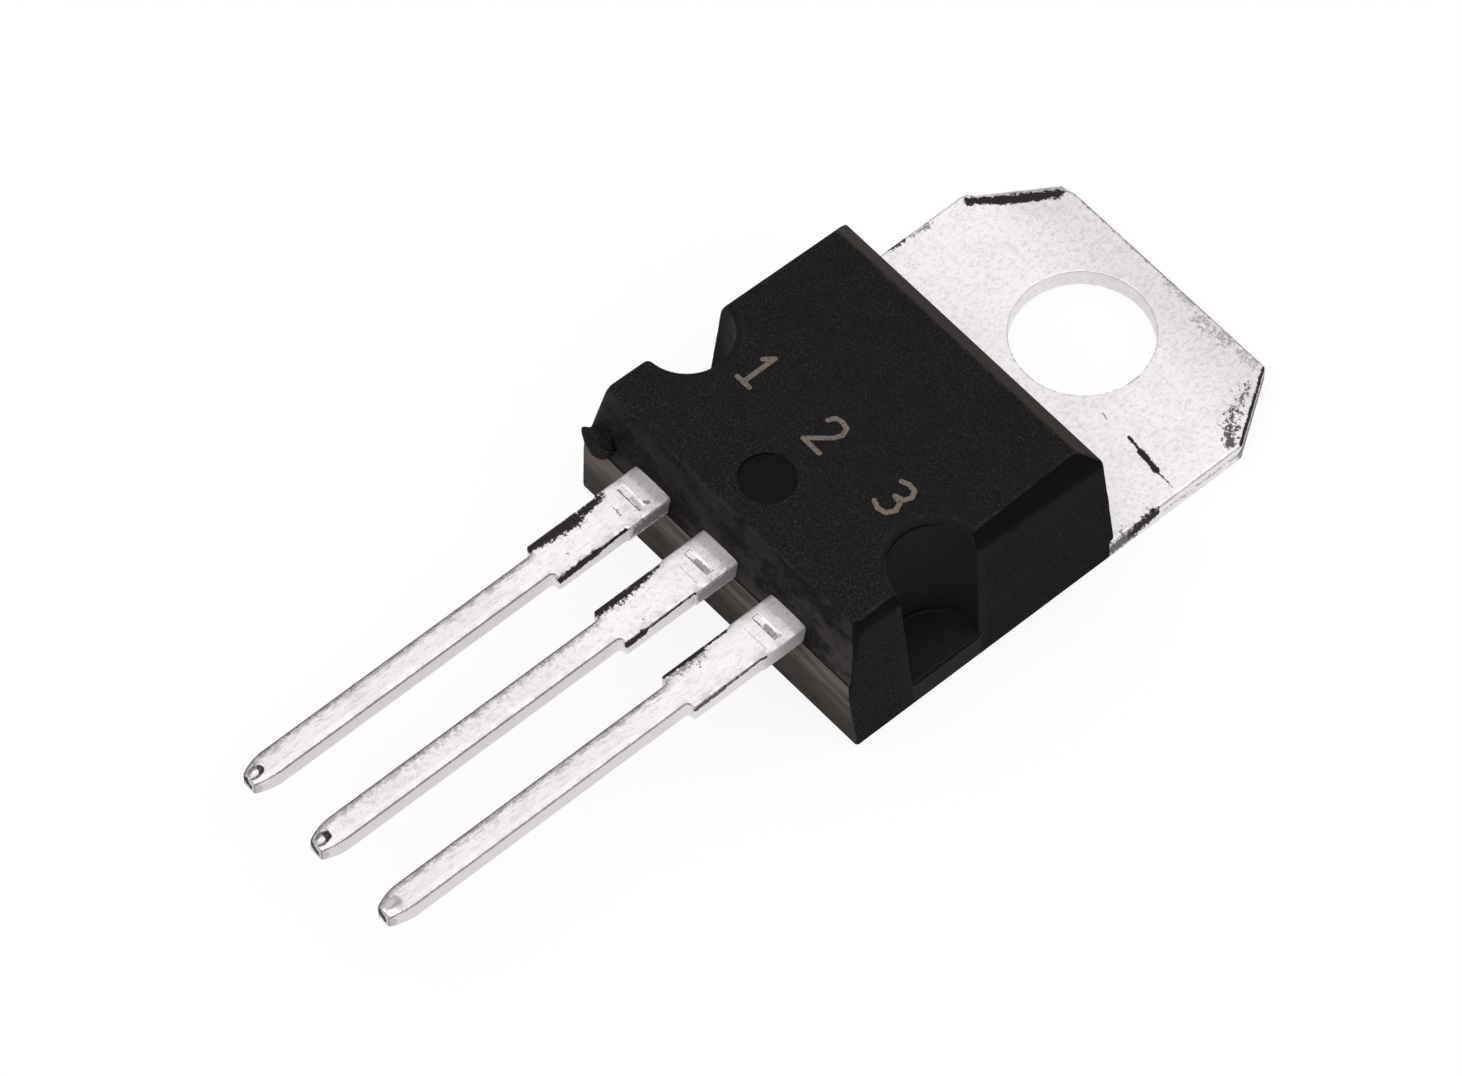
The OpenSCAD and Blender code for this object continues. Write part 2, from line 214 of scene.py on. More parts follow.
class StripSizes(bpy.types.PropertyGroup):
    """Sizes of the stamped strips that their boxes in the frame don't give."""
    corner_width: length("Corner width", "Width of the tab's cut corners", 1.4)
    corner_length: length("Corner length", "Length of the tab's cut corners", 2.1)
    hole_diameter: length("Hole diameter", "Diameter of the screw hole", 3.8)
    tab_lap: length("Tab lap", "How far the housing laps over the tab's full width", 0.2)
    pad_width: length("Pad width", "Width of the pad under the housing", 7.6)
    pad_setback: length("Pad setback", "Distance of the pad from the parting edge", 2.35)
    bite_radius: length("Bite radius", "Radius of the pad's bites round the notches", 1.7)
    riser_run: length("Riser run", "Length of the riser up to the middle lead", 1.3)
    post_length: length("Post length", "Length of the outer leads' posts", 1.1)
    wide_length: length("Wide length", "Length of the wide part of the leads", 3.42)
    wide_width: length("Wide width", "Width of the leads next to the housing", 1.25)
    stub_length: length("Stub length", "Length of the tie bar's remainder", 1.2)
    stub_proud: length("Stub proud", "How far the cut tie bar stands out", 0.04)
    narrow_width: length("Narrow width", "Width of the narrow part of the leads", 0.78)
    shoulder_radius: length("Shoulder radius", "Fillet in the corner of each shoulder", 0.12)
    tip_side: length("Tip side", "Width taken off each side at the tip", 0.17)
    tip_length: length("Tip length", "Length of the tapered tip", 0.4)
    tip_face: length("Tip face", "Height taken off the top at the tip", 0.13)
    tip_foot: length("Tip foot", "Height taken off the underside at the tip", 0.06)
    dimple_radius: length("Dimple radius", "Radius of the dimple in each tip", 0.17)
    dimple_setback: length("Dimple setback", "Distance of the dimple from the tip", 0.20)
    mark_length: length("Mark length", "Length of the pressed mark on each lead", 0.2)
    mark_setback: length("Mark setback", "Distance of the mark from the parting edge", 0.42)
    mark_depth: length("Mark depth", "Depth of the pressed mark", 0.035)
    mark_width: length("Mark width", "Width of the pressed mark", 0.86)
    rolled_edge: length("Rolled edge", "Radius that the punch leaves on the tab's edges", 0.10)
    lead_edge: length("Lead edge", "Radius along the top edges of the leads", 0.06)
    crown: length("Crown", "How far the top of a lead rolls down towards its edges", 0.03)
    corner_roll: length("Corner roll", "Radius along the tab's rolled left corner", 0.30)
    under_edge: length("Under edge", "Radius along the edges at the back", 0.03)


class Finishes(bpy.types.PropertyGroup):
    """Colours of the materials, in linear values."""
    compound: colour("Compound", "Black moulding compound", (0.0056, 0.0050, 0.0056))
    compound_grain: colour("Compound grain", "Filler grains in the compound", (0.035, 0.031, 0.032))
    # Painted shade: the darker tone of the side bevels, the notch rims and the ejector mark
    compound_bevel_and_rim_shade: colour("Compound polish", "Polished bevels", (0.0042, 0.0039, 0.0043))
    # Painted light: the warm tone of the rear bevel's painted reflection and of the front below the
    # parting step
    compound_warm_light: colour("Compound resin", "Warm cast where resin lies bare", (0.047, 0.038, 0.034))
    # Painted reflection of the floor, lightening the front wall
    compound_front_reflection: colour("Compound haze", "Grey haze on the front wall", (0.046, 0.040, 0.039))
    # Painted light on the lip below the parting step, in pale streaks
    compound_lip_light: colour("Compound flash", "Pale streaks on the lip", (0.20, 0.172, 0.158))
    # Lighter rounded edges: partly wear, partly a painted edge highlight
    compound_wear_and_highlight: colour("Compound wear", "Rubbed edges of the housing", (0.075, 0.068, 0.064))
    marking: colour("Marking", "Printed figures", (0.138, 0.113, 0.096))
    tin: colour("Tin", "Matt tin plating", (0.86, 0.83, 0.84))
    tin_shade: colour("Tin shade", "Darker cloud in the plating", (0.60, 0.545, 0.56))
    # Also used for the painted shade of the grey band along the leads' left edges
    tin_scuff_and_shade: colour("Tin scuff", "Fine scuffs in the plating", (0.30, 0.265, 0.275))
    # Also used for painted shade along edges, in the dimples and at a corner's edge, and for a painted
    # reflection by the housing
    tin_soil_and_shade: colour("Tin soil", "Dark smears and scratches", (0.022, 0.018, 0.017))
    silicon: colour("Silicon", "Die", (0.10, 0.11, 0.14))
    solder: colour("Solder", "Die solder", (0.42, 0.42, 0.40))
    gold: colour("Gold", "Bond wires", (0.80, 0.55, 0.20))
    floor: colour("Floor", "Plain pale floor", (0.90, 0.90, 0.90))


class StageSettings(bpy.types.PropertyGroup):
    """Camera and light."""
    azimuth: angle("Azimuth", "Direction the camera looks in, from +Y", -48.473)
    elevation: angle("Elevation", "How steeply the camera looks down", 56.686)
    roll: angle("Roll", "Turn of the camera about its axis", 0.154)
    distance: length("Distance", "Distance of the camera from its target", 283.259)
    focal_pixels: bpy.props.FloatProperty(
        name="Focal length", description="Focal length in pixels of the photograph",
        default=11341.4, min=1.0)
    target: bpy.props.FloatVectorProperty(
        name="Target", description="Point in the middle of the picture", size=3,
        default=(-0.776 * MM, -11.207 * MM, 1.5 * MM), subtype="TRANSLATION", unit="LENGTH")
    sky_strength: factor("Sky", "Brightness of the studio's walls", 1.0, 4.0)
    softbox_strength: factor("Softbox", "Brightness of the large softbox", 1.0, 8.0)


# Distance fields: negative inside a solid, in metres

def outside_line(u, v, start, end):
    """Distance from the line start-end, positive on its right-hand side."""
    du, dv = end[0] - start[0], end[1] - start[1]
    return ((u - start[0]) * dv - (v - start[1]) * du) / math.hypot(du, dv)


def meet(a, b, radius=0.0):
    """What two solids share, with the edge between them rounded."""
    rounded = np.hypot(np.maximum(a + radius, 0.0), np.maximum(b + radius, 0.0))
    return np.minimum(np.maximum(a, b), -radius) + rounded


def join(a, b, radius=0.0):
    """Two solids together, with a fillet between them."""
    return -meet(-a, -b, radius)


def cut(solid, tool, radius=0.0):
    """A solid less a tool, with the rim rounded."""
    return meet(solid, -tool, radius)


def capsule(x, y, start, end, radius):
    """Plan of a stroke from start to end with round ends."""
    run = (end[0] - start[0], end[1] - start[1])
    along = ((x - start[0]) * run[0] + (y - start[1]) * run[1]) / max(run[0] ** 2 + run[1] ** 2, 1e-18)
    along = np.clip(along, 0.0, 1.0)
    return np.hypot(x - start[0] - along * run[0], y - start[1] - along * run[1]) - radius


def broken_lump(x, y, z, half):
    """A lump with uneven break faces inside an ellipsoid of the given half sizes."""
    facets = np.random.RandomState(GATE_SEED)
    lump = np.full(np.shape(x), -1.0)
    for _ in range(GATE_FACES):
        normal = facets.normal(size=3)
        normal /= np.linalg.norm(normal)
        stand = facets.uniform(*GATE_STAND)
        reach = (x * normal[0] / half[0] + y * normal[1] / half[1] + z * normal[2] / half[2]) - stand
        lump = meet(lump, reach, GATE_FACE_EDGE)
    return lump * min(half)


# Meshing of a field

PROBE = 1e-7
SURFACE_STEPS = 5
CELL_REACH = 0.75
FLATTEST_SLOPE = 1e-6


def ticks(spans, origin=0.0):
    """Grid positions in metres from (start, stop, step) spans in millimetres past an origin."""
    values = [spans[0][0]]
    for start, stop, step in spans:
        count = max(1, round((stop - start) / step))
        values.extend(np.linspace(start, stop, count + 1)[1:])
    return np.array(values) * MM + origin


def nearest_surface(field, points, reach):
    """Moves points onto the zero surface of a field, no further than reach; also the normals."""
    start = points.copy()
    for _ in range(SURFACE_STEPS):
        value = field(*points.T)
        slope = np.stack([
            (field(*(points + offset).T) - field(*(points - offset).T)) / (2 * PROBE)
            for offset in np.eye(3) * PROBE], axis=1)
        square = np.maximum(np.sum(slope ** 2, axis=1), FLATTEST_SLOPE)
        points = points - (value / square)[:, None] * slope
        points = np.clip(points, start - reach, start + reach)
    return points, slope / np.sqrt(square)[:, None]


def surface_of(field, xs, ys, zs):
    """Vertices, normals and quads of a field's zero surface on a rectilinear grid."""
    values = field(*np.meshgrid(xs, ys, zs, indexing="ij"))
    inside = values < 0.0
    axes = (xs, ys, zs)
    shape = tuple(len(a) - 1 for a in axes)
    corners = [(i, j, k) for i in (0, 1) for j in (0, 1) for k in (0, 1)]

    def shifted(array, corner):
        return array[tuple(slice(c, c + n) for c, n in zip(corner, shape))]

    full = np.ones(shape, bool)
    none = np.zeros(shape, bool)
    for corner in corners:
        full &= shifted(inside, corner)
        none |= shifted(inside, corner)
    cells = np.argwhere(none & ~full)
    number = np.full(shape, -1, np.int64)
    number[tuple(cells.T)] = np.arange(len(cells))

    total = np.zeros((len(cells), 3))
    crossings = np.zeros(len(cells))
    for first in corners:
        for axis in range(3):
            if first[axis]:
                continue
            second = tuple(1 if a == axis else c for a, c in enumerate(first))
            index_a = tuple((cells + first).T)
            index_b = tuple((cells + second).T)
            value_a, value_b = values[index_a], values[index_b]
            crossed = (value_a < 0.0) != (value_b < 0.0)
            share = np.where(crossed, value_a / np.where(crossed, value_a - value_b, 1.0), 0.0)
            place = np.stack([axes[a][index_a[a]] for a in range(3)], axis=1)
            end = axes[axis][index_b[axis]]
            place[:, axis] += share * (end - place[:, axis])
            total += place * crossed[:, None]
            crossings += crossed
    points = total / crossings[:, None]
    reach = CELL_REACH * np.stack([np.diff(axes[a])[cells[:, a]] for a in range(3)], axis=1)
    points, normals = nearest_surface(field, points, reach)

    quads = []
    around = {
        0: ((0, -1, -1), (0, 0, -1), (0, 0, 0), (0, -1, 0)),
        1: ((-1, 0, -1), (-1, 0, 0), (0, 0, 0), (0, 0, -1)),
        2: ((-1, -1, 0), (0, -1, 0), (0, 0, 0), (-1, 0, 0)),
    }
    for axis, ring in around.items():
        low = [slice(None)] * 3
        high = [slice(None)] * 3
        low[axis], high[axis] = slice(0, -1), slice(1, None)
        starts_inside, ends_inside = inside[tuple(low)], inside[tuple(high)]
        for edges, order in ((np.argwhere(starts_inside & ~ends_inside), ring),
                             (np.argwhere(~starts_inside & ends_inside), ring[::-1])):
            if len(edges):
                quads.append(np.stack([number[tuple((edges + o).T)] for o in order], axis=1))
    return points, normals, np.concatenate(quads)


def field_piece(name, field, sharp_field, edge_depth, grid, material):
    """A smooth mesh of a field, with how near each vertex is to a rounded edge kept on it."""
    points, normals, quads = surface_of(field, *grid)
    mesh = bpy.data.meshes.new(name)
    mesh.from_pydata(points.tolist(), [], quads.tolist())
    mesh.polygons.foreach_set("use_smooth", np.ones(len(mesh.polygons), bool))
    wear = mesh.attributes.new(WEAR, "FLOAT", "POINT")
    depth = np.clip(-sharp_field(*points.T) / edge_depth, 0.0, 1.0)
    wear.data.foreach_set("value", depth.astype(np.float32))
    mesh.normals_split_custom_set_from_vertices(normals.tolist())
    mesh.materials.append(material)
    if mesh.validate():
        raise RuntimeError(f"{name}: the mesh had faults")
    piece = bpy.data.objects.new(name, mesh)
    bpy.context.scene.collection.objects.link(piece)
    print(f"{name}: {2 * len(quads)} triangles")
    return piece


# Shapes of the pieces

def strip_plan(x, y, s):
    """Plan of the tab and of the pad under the housing."""
    side = np.abs(x)
    edge = s.parting_edge
    wide_end = BODY_REAR - s.tab_lap
    corner = outside_line(side, y, (HALF_WIDTH, TAB_END - s.corner_length),
                          (HALF_WIDTH - s.corner_width, TAB_END))
    tab = np.maximum(np.maximum(side - HALF_WIDTH, y - TAB_END), wide_end - y)
    tab = meet(tab, corner, TAB_CORNER)
    pad = np.maximum(np.maximum(side - s.pad_width / 2, edge + s.pad_setback - y), y - BODY_REAR)
    hole = np.hypot(x, y) - s.hole_diameter / 2
    bite = np.hypot(side - s.notch_offset, y - edge - s.notch_setback) - s.bite_radius
    return cut(cut(np.minimum(tab, pad), hole), bite)


class Sizes:
    """The housing's and the strips' sizes together, with the places worked out from them."""

    def __init__(self, context):
        scene = context.scene
        for group in (scene.housing_sizes, scene.strip_sizes):
            for name in group.bl_rna.properties.keys():
                if name not in ("rna_type", "name"):
                    setattr(self, name, getattr(group, name))
        self.parting_edge = BODY_LOW.y + self.gate_stub
        self.step_edge = self.parting_edge + self.lip_depth + self.parting_step
        self.top_rear = BODY_REAR - self.rear_lean - self.rear_bevel_length
        self.top_front = self.step_edge + self.front_top_lean
        self.face = BODY_HEIGHT - self.print_relief
        self.shoulder = self.parting_edge - self.wide_length
        self.stub_end = self.parting_edge - self.stub_length
        self.notch_axis = self.parting_edge + self.notch_setback


def housing_walls(x, y, z, s, soft):
    """The housing without its notches and marks."""
    side = np.abs(x)
    wall, top = soft * s.wall_edge, soft * s.top_edge
    bevel_foot = BODY_HEIGHT - s.rear_bevel_height
    lean_end = (BODY_REAR - s.rear_lean, bevel_foot)
    rear = np.maximum(y - BODY_REAR, outside_line(y, z, (BODY_REAR, THICKNESS), lean_end))
    rear = meet(rear, outside_line(y, z, lean_end, (s.top_rear, BODY_HEIGHT)), wall)
    rear = meet(rear, z - s.face, top)

    front_top = outside_line(y, z, (s.top_front, BODY_HEIGHT), (s.step_edge, LEAD_LEVEL))
    upper = meet(rear, front_top, top)
    upper = np.maximum(upper, np.maximum(s.step_edge - y, LEAD_LEVEL - HALVES_LAP - z))
    lip_edge = (s.parting_edge, LEAD_LEVEL - s.lip_height)
    lip = outside_line(y, z, (s.parting_edge + s.lip_depth, LEAD_LEVEL), lip_edge)
    foot = outside_line(y, z, lip_edge, (s.parting_edge + s.front_foot_lean, 0.0))
    parting = PARTING_SHARPNESS * wall
    lower = meet(meet(meet(rear, lip), foot, wall), z - LEAD_LEVEL, parting)

    rise = BODY_HEIGHT - s.foot_land
    draw = math.tan(s.side_draft)
    leaning = outside_line(side, z, (HALF_WIDTH, s.foot_land),
                           (HALF_WIDTH - rise * draw, BODY_HEIGHT))
    slope, runout = s.side_bevel_slope, s.side_bevel_runout
    bevel = ((side - s.top_width / 2) * math.cos(slope) * math.cos(runout)
             + (y - s.top_rear) * math.cos(slope) * math.sin(runout)
             + (z - BODY_HEIGHT) * math.sin(slope))

    corner_rise = BODY_HEIGHT - LEAD_LEVEL
    corner_x = HALF_WIDTH - (LEAD_LEVEL - s.foot_land) * draw
    diagonal = (corner_rise * draw + s.front_top_lean + s.corner_bevel) / math.sqrt(2)
    tilt = math.atan2(diagonal, corner_rise)
    corner = (((side - corner_x) - (y - s.step_edge)) * math.cos(tilt) / math.sqrt(2)
              + (z - LEAD_LEVEL) * math.sin(tilt))
    upper = meet(upper, corner, wall)
    body = join(upper, lower, parting)
    body = meet(body, meet(leaning, side - HALF_WIDTH), wall)
    body = meet(body, bevel, top)
    return meet(body, -z, FOOT_EDGE)


def housing_field(x, y, z, s, soft=1.0):
    """The moulded housing, with its edges softened or, at soft = 0, sharp."""
    side = np.abs(x)
    body = housing_walls(x, y, z, s, soft)

    slope = s.notch_taper / (BODY_HEIGHT - s.notch_floor)
    reach = np.hypot(side - s.notch_offset, y - s.notch_axis)
    notch = (reach - s.notch_radius - slope * (z - BODY_HEIGHT)) / math.hypot(1.0, slope)
    notch = meet(notch, s.notch_floor - z, NOTCH_FLOOR_EDGE)
    near_top = np.clip((z - BODY_HEIGHT) / (NOTCH_RIM_REACH * s.notch_rim) + 1.0, 0.0, 1.0)
    inward = np.clip((s.notch_offset - side) / s.notch_radius, 0.0, 1.0)
    rim = s.notch_rim * (NOTCH_RIM_SHARE + NOTCH_RIM_GAIN * inward)
    rim = s.wall_edge + (rim - s.wall_edge) * near_top ** NOTCH_RIM_POWER
    body = cut(body, notch, soft * rim)

    centre = s.parting_edge + s.ejector_setback
    pin = meet(np.hypot(x, y - centre) - s.ejector_diameter / 2,
               s.face - s.ejector_depth - z, PIN_FLOOR_EDGE)
    body = cut(body, pin, soft * PIN_RIM)

    lump = broken_lump(x + s.gate_offset, y - s.parting_edge - GATE_INSET,
                       z - LEAD_LEVEL - GATE_RISE, GATE_HALF_SIZES)
    lump = np.maximum(lump, BODY_LOW.y + GATE_CLEARANCE - y)
    body = join(body, lump, GATE_FILLET)

    pocket = np.maximum(strip_plan(x, y, s), z - THICKNESS)
    return np.maximum(body, -pocket)


def lead_plan(x, y, s):
    """Plan of a straight lead, centred on x = 0."""
    side = np.abs(x)
    narrow = meet(side - s.narrow_width / 2,
                  -outside_line(side, -y, (s.narrow_width / 2 - s.tip_side, -LEAD_TIP),
                                (s.narrow_width / 2, -LEAD_TIP - s.tip_length)), TIP_CORNER)
    wide = meet(side - s.wide_width / 2, s.shoulder - y, SHOULDER_CORNER)
    stub = meet(side - s.wide_width / 2 - s.stub_proud, s.stub_end - y, STUB_CORNER)
    return np.minimum(join(narrow, wide, s.shoulder_radius), stub)


def lead_field(x, y, z, s, soft, mark_depth, inner_end, dimple_lift=0.0):
    """A lead outside the housing, with its tip, pressed mark and rolled edges."""
    side = np.abs(x)
    tip_start = LEAD_TIP + s.tip_length
    half = np.where(y > s.shoulder, s.wide_width, s.narrow_width) / 2
    crown = soft * s.crown * np.clip(side / half, 0.0, CROWN_LIMIT) ** CROWN_POWER
    above = meet(z - LEAD_TOP + crown, outside_line(
        y, z, (tip_start, LEAD_TOP), (LEAD_TIP, LEAD_TOP - s.tip_face)), soft * TIP_SLOPE_EDGE)
    below = meet(LEAD_LEVEL - z, outside_line(
        y, z, (LEAD_TIP, LEAD_LEVEL + s.tip_foot), (tip_start, LEAD_LEVEL)), soft * TIP_SLOPE_EDGE)
    plan = meet(lead_plan(x, y, s), LEAD_TIP - y, soft * TIP_END)
    lead = meet(plan, above, soft * s.lead_edge)
    lead = meet(lead, below, soft * s.under_edge)
    lead = np.maximum(lead, y - inner_end)

    mark = s.parting_edge - s.mark_setback - s.mark_length / 2
    press = meet(np.maximum(np.abs(y - mark) - s.mark_length / 2, side - s.mark_width / 2),
                 LEAD_TOP - mark_depth - z, MARK_EDGE)
    lead = cut(lead, press, soft * MARK_EDGE)
    dimple_run = DIMPLE_NARROWING * (y - LEAD_TIP - s.dimple_setback)
    dimple = np.sqrt((x + DIMPLE_SHIFT) ** 2 + dimple_run ** 2
                     + (z - LEAD_TOP - dimple_lift) ** 2) - s.dimple_radius
    return cut(lead, dimple, soft * DIMPLE_RIM)


def outer_lead_field(x, y, z, s, soft, mark_depth, dimple_lift):
    """An outer lead with its post inside the housing, centred on x = 0."""
    lead = lead_field(x, y, z, s, soft, mark_depth, POST_REAR, dimple_lift)
    post = np.maximum(np.maximum(np.abs(x) - HALF_POST, POST_REAR - s.post_length - y),
                      np.maximum(y - POST_REAR, np.maximum(z - LEAD_TOP, LEAD_LEVEL - z)))
    return np.minimum(lead, post)


def tab_field(x, y, z, s, soft=1.0):
    """Tab, pad, riser and middle lead: one stamped and bent strip."""
    plan = strip_plan(x, y, s)
    hole = np.hypot(x, y) - s.hole_diameter / 2
    at_hole = np.clip((HOLE_REACH - hole) / HOLE_FADE, 0.0, 1.0)
    at_corner = (np.clip((ROLL_START_X - x) / ROLL_FADE, 0.0, 1.0)
                 * np.clip((y - ROLL_START_Y) / ROLL_FADE, 0.0, 1.0))
    rolled = s.rolled_edge + (s.corner_roll - s.rolled_edge) * at_corner
    rolled = soft * (rolled * (1.0 - at_hole) + HOLE_EDGE * at_hole)
    flat = meet(plan, z - THICKNESS, rolled)
    flat = meet(flat, -z, soft * s.under_edge)

    pad_front = s.parting_edge + s.pad_setback
    inner_end = pad_front - s.riser_run
    bend = THICKNESS * math.tan(math.atan2(LEAD_LEVEL, s.riser_run) / 2)
    under = outside_line(y, z, (inner_end, LEAD_LEVEL), (pad_front, 0.0))
    over = outside_line(y, z, (pad_front + bend, THICKNESS), (inner_end + bend, LEAD_TOP))
    riser = np.maximum(np.maximum(under, over), np.abs(x) - s.wide_width / 2 - s.stub_proud)
    riser = np.maximum(riser, np.maximum(-z, z - LEAD_TOP))
    lead = lead_field(x, y, z, s, soft, s.mark_depth, inner_end + 0.5 * bend)
    return np.minimum(np.minimum(flat, riser), lead)


# Strokes of the printed figures, drawn FIGURE_HEIGHT high from their foot
FIGURE_HEIGHT = 0.8
DIGITS = {
    "1": (((-0.14, 0.62), (0.0, 0.8)), ((0.0, 0.8), (0.0, 0.0)), ((-0.17, 0.0), (0.17, 0.0))),
    "2": (((-0.22, 0.62), (-0.16, 0.76)), ((-0.16, 0.76), (0.0, 0.8)), ((0.0, 0.8), (0.16, 0.76)),
          ((0.16, 0.76), (0.22, 0.6)), ((0.22, 0.6), (0.16, 0.44)), ((0.16, 0.44), (-0.23, 0.0)),
          ((-0.23, 0.0), (0.23, 0.0))),
    "3": (((-0.2, 0.74), (-0.06, 0.8)), ((-0.06, 0.8), (0.12, 0.78)), ((0.12, 0.78), (0.2, 0.64)),
          ((0.2, 0.64), (0.14, 0.48)), ((0.14, 0.48), (-0.04, 0.43)), ((0.14, 0.39), (-0.04, 0.43)),
          ((0.14, 0.39), (0.22, 0.22)), ((0.22, 0.22), (0.13, 0.04)), ((0.13, 0.04), (-0.06, 0.0)),
          ((-0.06, 0.0), (-0.22, 0.07))),
}


def figure_field(x, y, z, s, figure, place):
    """One printed figure: strokes of even width, a hair above the top face."""
    strokes = DIGITS[figure]
    size = s.figure_height / FIGURE_HEIGHT
    outline = np.full(np.shape(x), 1.0)
    for start, end in strokes:
        start = (place[0] + start[0] * size, place[1] + start[1] * size)
        end = (place[0] + end[0] * size, place[1] + end[1] * size)
        outline = np.minimum(outline, capsule(x, y, start, end, s.stroke / 2))
    return np.maximum(outline, np.maximum(z - BODY_HEIGHT, s.face - FIGURE_FOOT - z))


# Materials

class Finish:
    """One material's nodes; each method adds a node and returns its output."""

    def __init__(self, name):
        self.material = bpy.data.materials.new(name)
        self.material.use_nodes = True
        self.tree = self.material.node_tree
        self.tree.nodes.clear()
        place = self.add("ShaderNodeTexCoord").outputs["Object"]
        self.place = self.vector("SCALE", place, scale=1 / MM)

    def add(self, kind, inputs=None, **settings):
        node = self.tree.nodes.new(kind)
        for name, value in settings.items():
            setattr(node, name, value)
        for name, value in (inputs or {}).items():
            self.feed(node.inputs[name], value)
        return node

    def feed(self, socket, value):
        if isinstance(value, bpy.types.NodeSocket):
            self.tree.links.new(value, socket)
        elif hasattr(value, "__len__") and len(value) == 3 and socket.type == "RGBA":
            socket.default_value = (*value, 1.0)
        else:
            socket.default_value = value

    def math(self, operation, a, b=0.0, c=0.0, clamp=False):
        node = self.add("ShaderNodeMath", {0: a, 1: b, 2: c}, operation=operation, use_clamp=clamp)
        return node.outputs[0]

    def vector(self, operation, a, b=(0.0, 0.0, 0.0), scale=1.0):
        node = self.add("ShaderNodeVectorMath", operation=operation)
        for index, value in ((0, a), (1, b), (3, scale)):
            self.feed(node.inputs[index], value)
        return node.outputs[0]

    def stretched(self, scales):
        """The place in millimetres with each axis scaled, for grain with a direction."""
        return self.vector("MULTIPLY", self.place, scales)

    def noise(self, scale, detail=2.0, roughness=0.5, distortion=0.0, place=None):
        node = self.add("ShaderNodeTexNoise", {
            "Vector": place or self.place, "Scale": scale, "Detail": detail,
            "Roughness": roughness, "Distortion": distortion})
        return node.outputs["Fac"]

    def grains(self, scale, place=None):
        node = self.add("ShaderNodeTexVoronoi", {"Vector": place or self.place, "Scale": scale})
        return node.outputs["Distance"]

    def between(self, value, low, high, start=0.0, stop=1.0, smooth=True):
        """Maps a value from low-high to start-stop and holds it there."""
        node = self.add("ShaderNodeMapRange", {
            "Value": value, "From Min": low, "From Max": high, "To Min": start, "To Max": stop},
            interpolation_type="SMOOTHSTEP" if smooth else "LINEAR", clamp=True)
        return node.outputs["Result"]

    def blend(self, share, a, b):
        node = self.add("ShaderNodeMix", {0: share, 6: a, 7: b}, data_type="RGBA")
        return node.outputs[2]

    def axis(self, name, vector=None):
        node = self.add("ShaderNodeSeparateXYZ", {0: vector or self.place})
        return node.outputs[name]

    def attribute(self, name):
        return self.add("ShaderNodeAttribute", attribute_name=name).outputs["Fac"]

    def bump(self, height, distance, strength=1.0, normal=None):
        inputs = {"Height": height, "Distance": distance, "Strength": strength}
        if normal:
            inputs["Normal"] = normal
        return self.add("ShaderNodeBump", inputs).outputs["Normal"]

    def shade(self, **inputs):
        """Ends the material in a Principled shader with the given inputs."""
        named = {key.replace("_", " "): value for key, value in inputs.items()}
        shader = self.add("ShaderNodeBsdfPrincipled", named)
        output = self.add("ShaderNodeOutputMaterial")
        self.tree.links.new(shader.outputs[0], output.inputs["Surface"])
        return self.material


def reach_from(f, across, along, middle, setback):
    """Distance in plan from a point and, mirrored, from its like on the other side."""
    side = f.math("SUBTRACT", f.math("ABSOLUTE", across), middle / MM)
    run = f.math("SUBTRACT", along, setback / MM)
    return f.math("SQRT", f.math("MULTIPLY_ADD", side, side, f.math("MULTIPLY", run, run)))


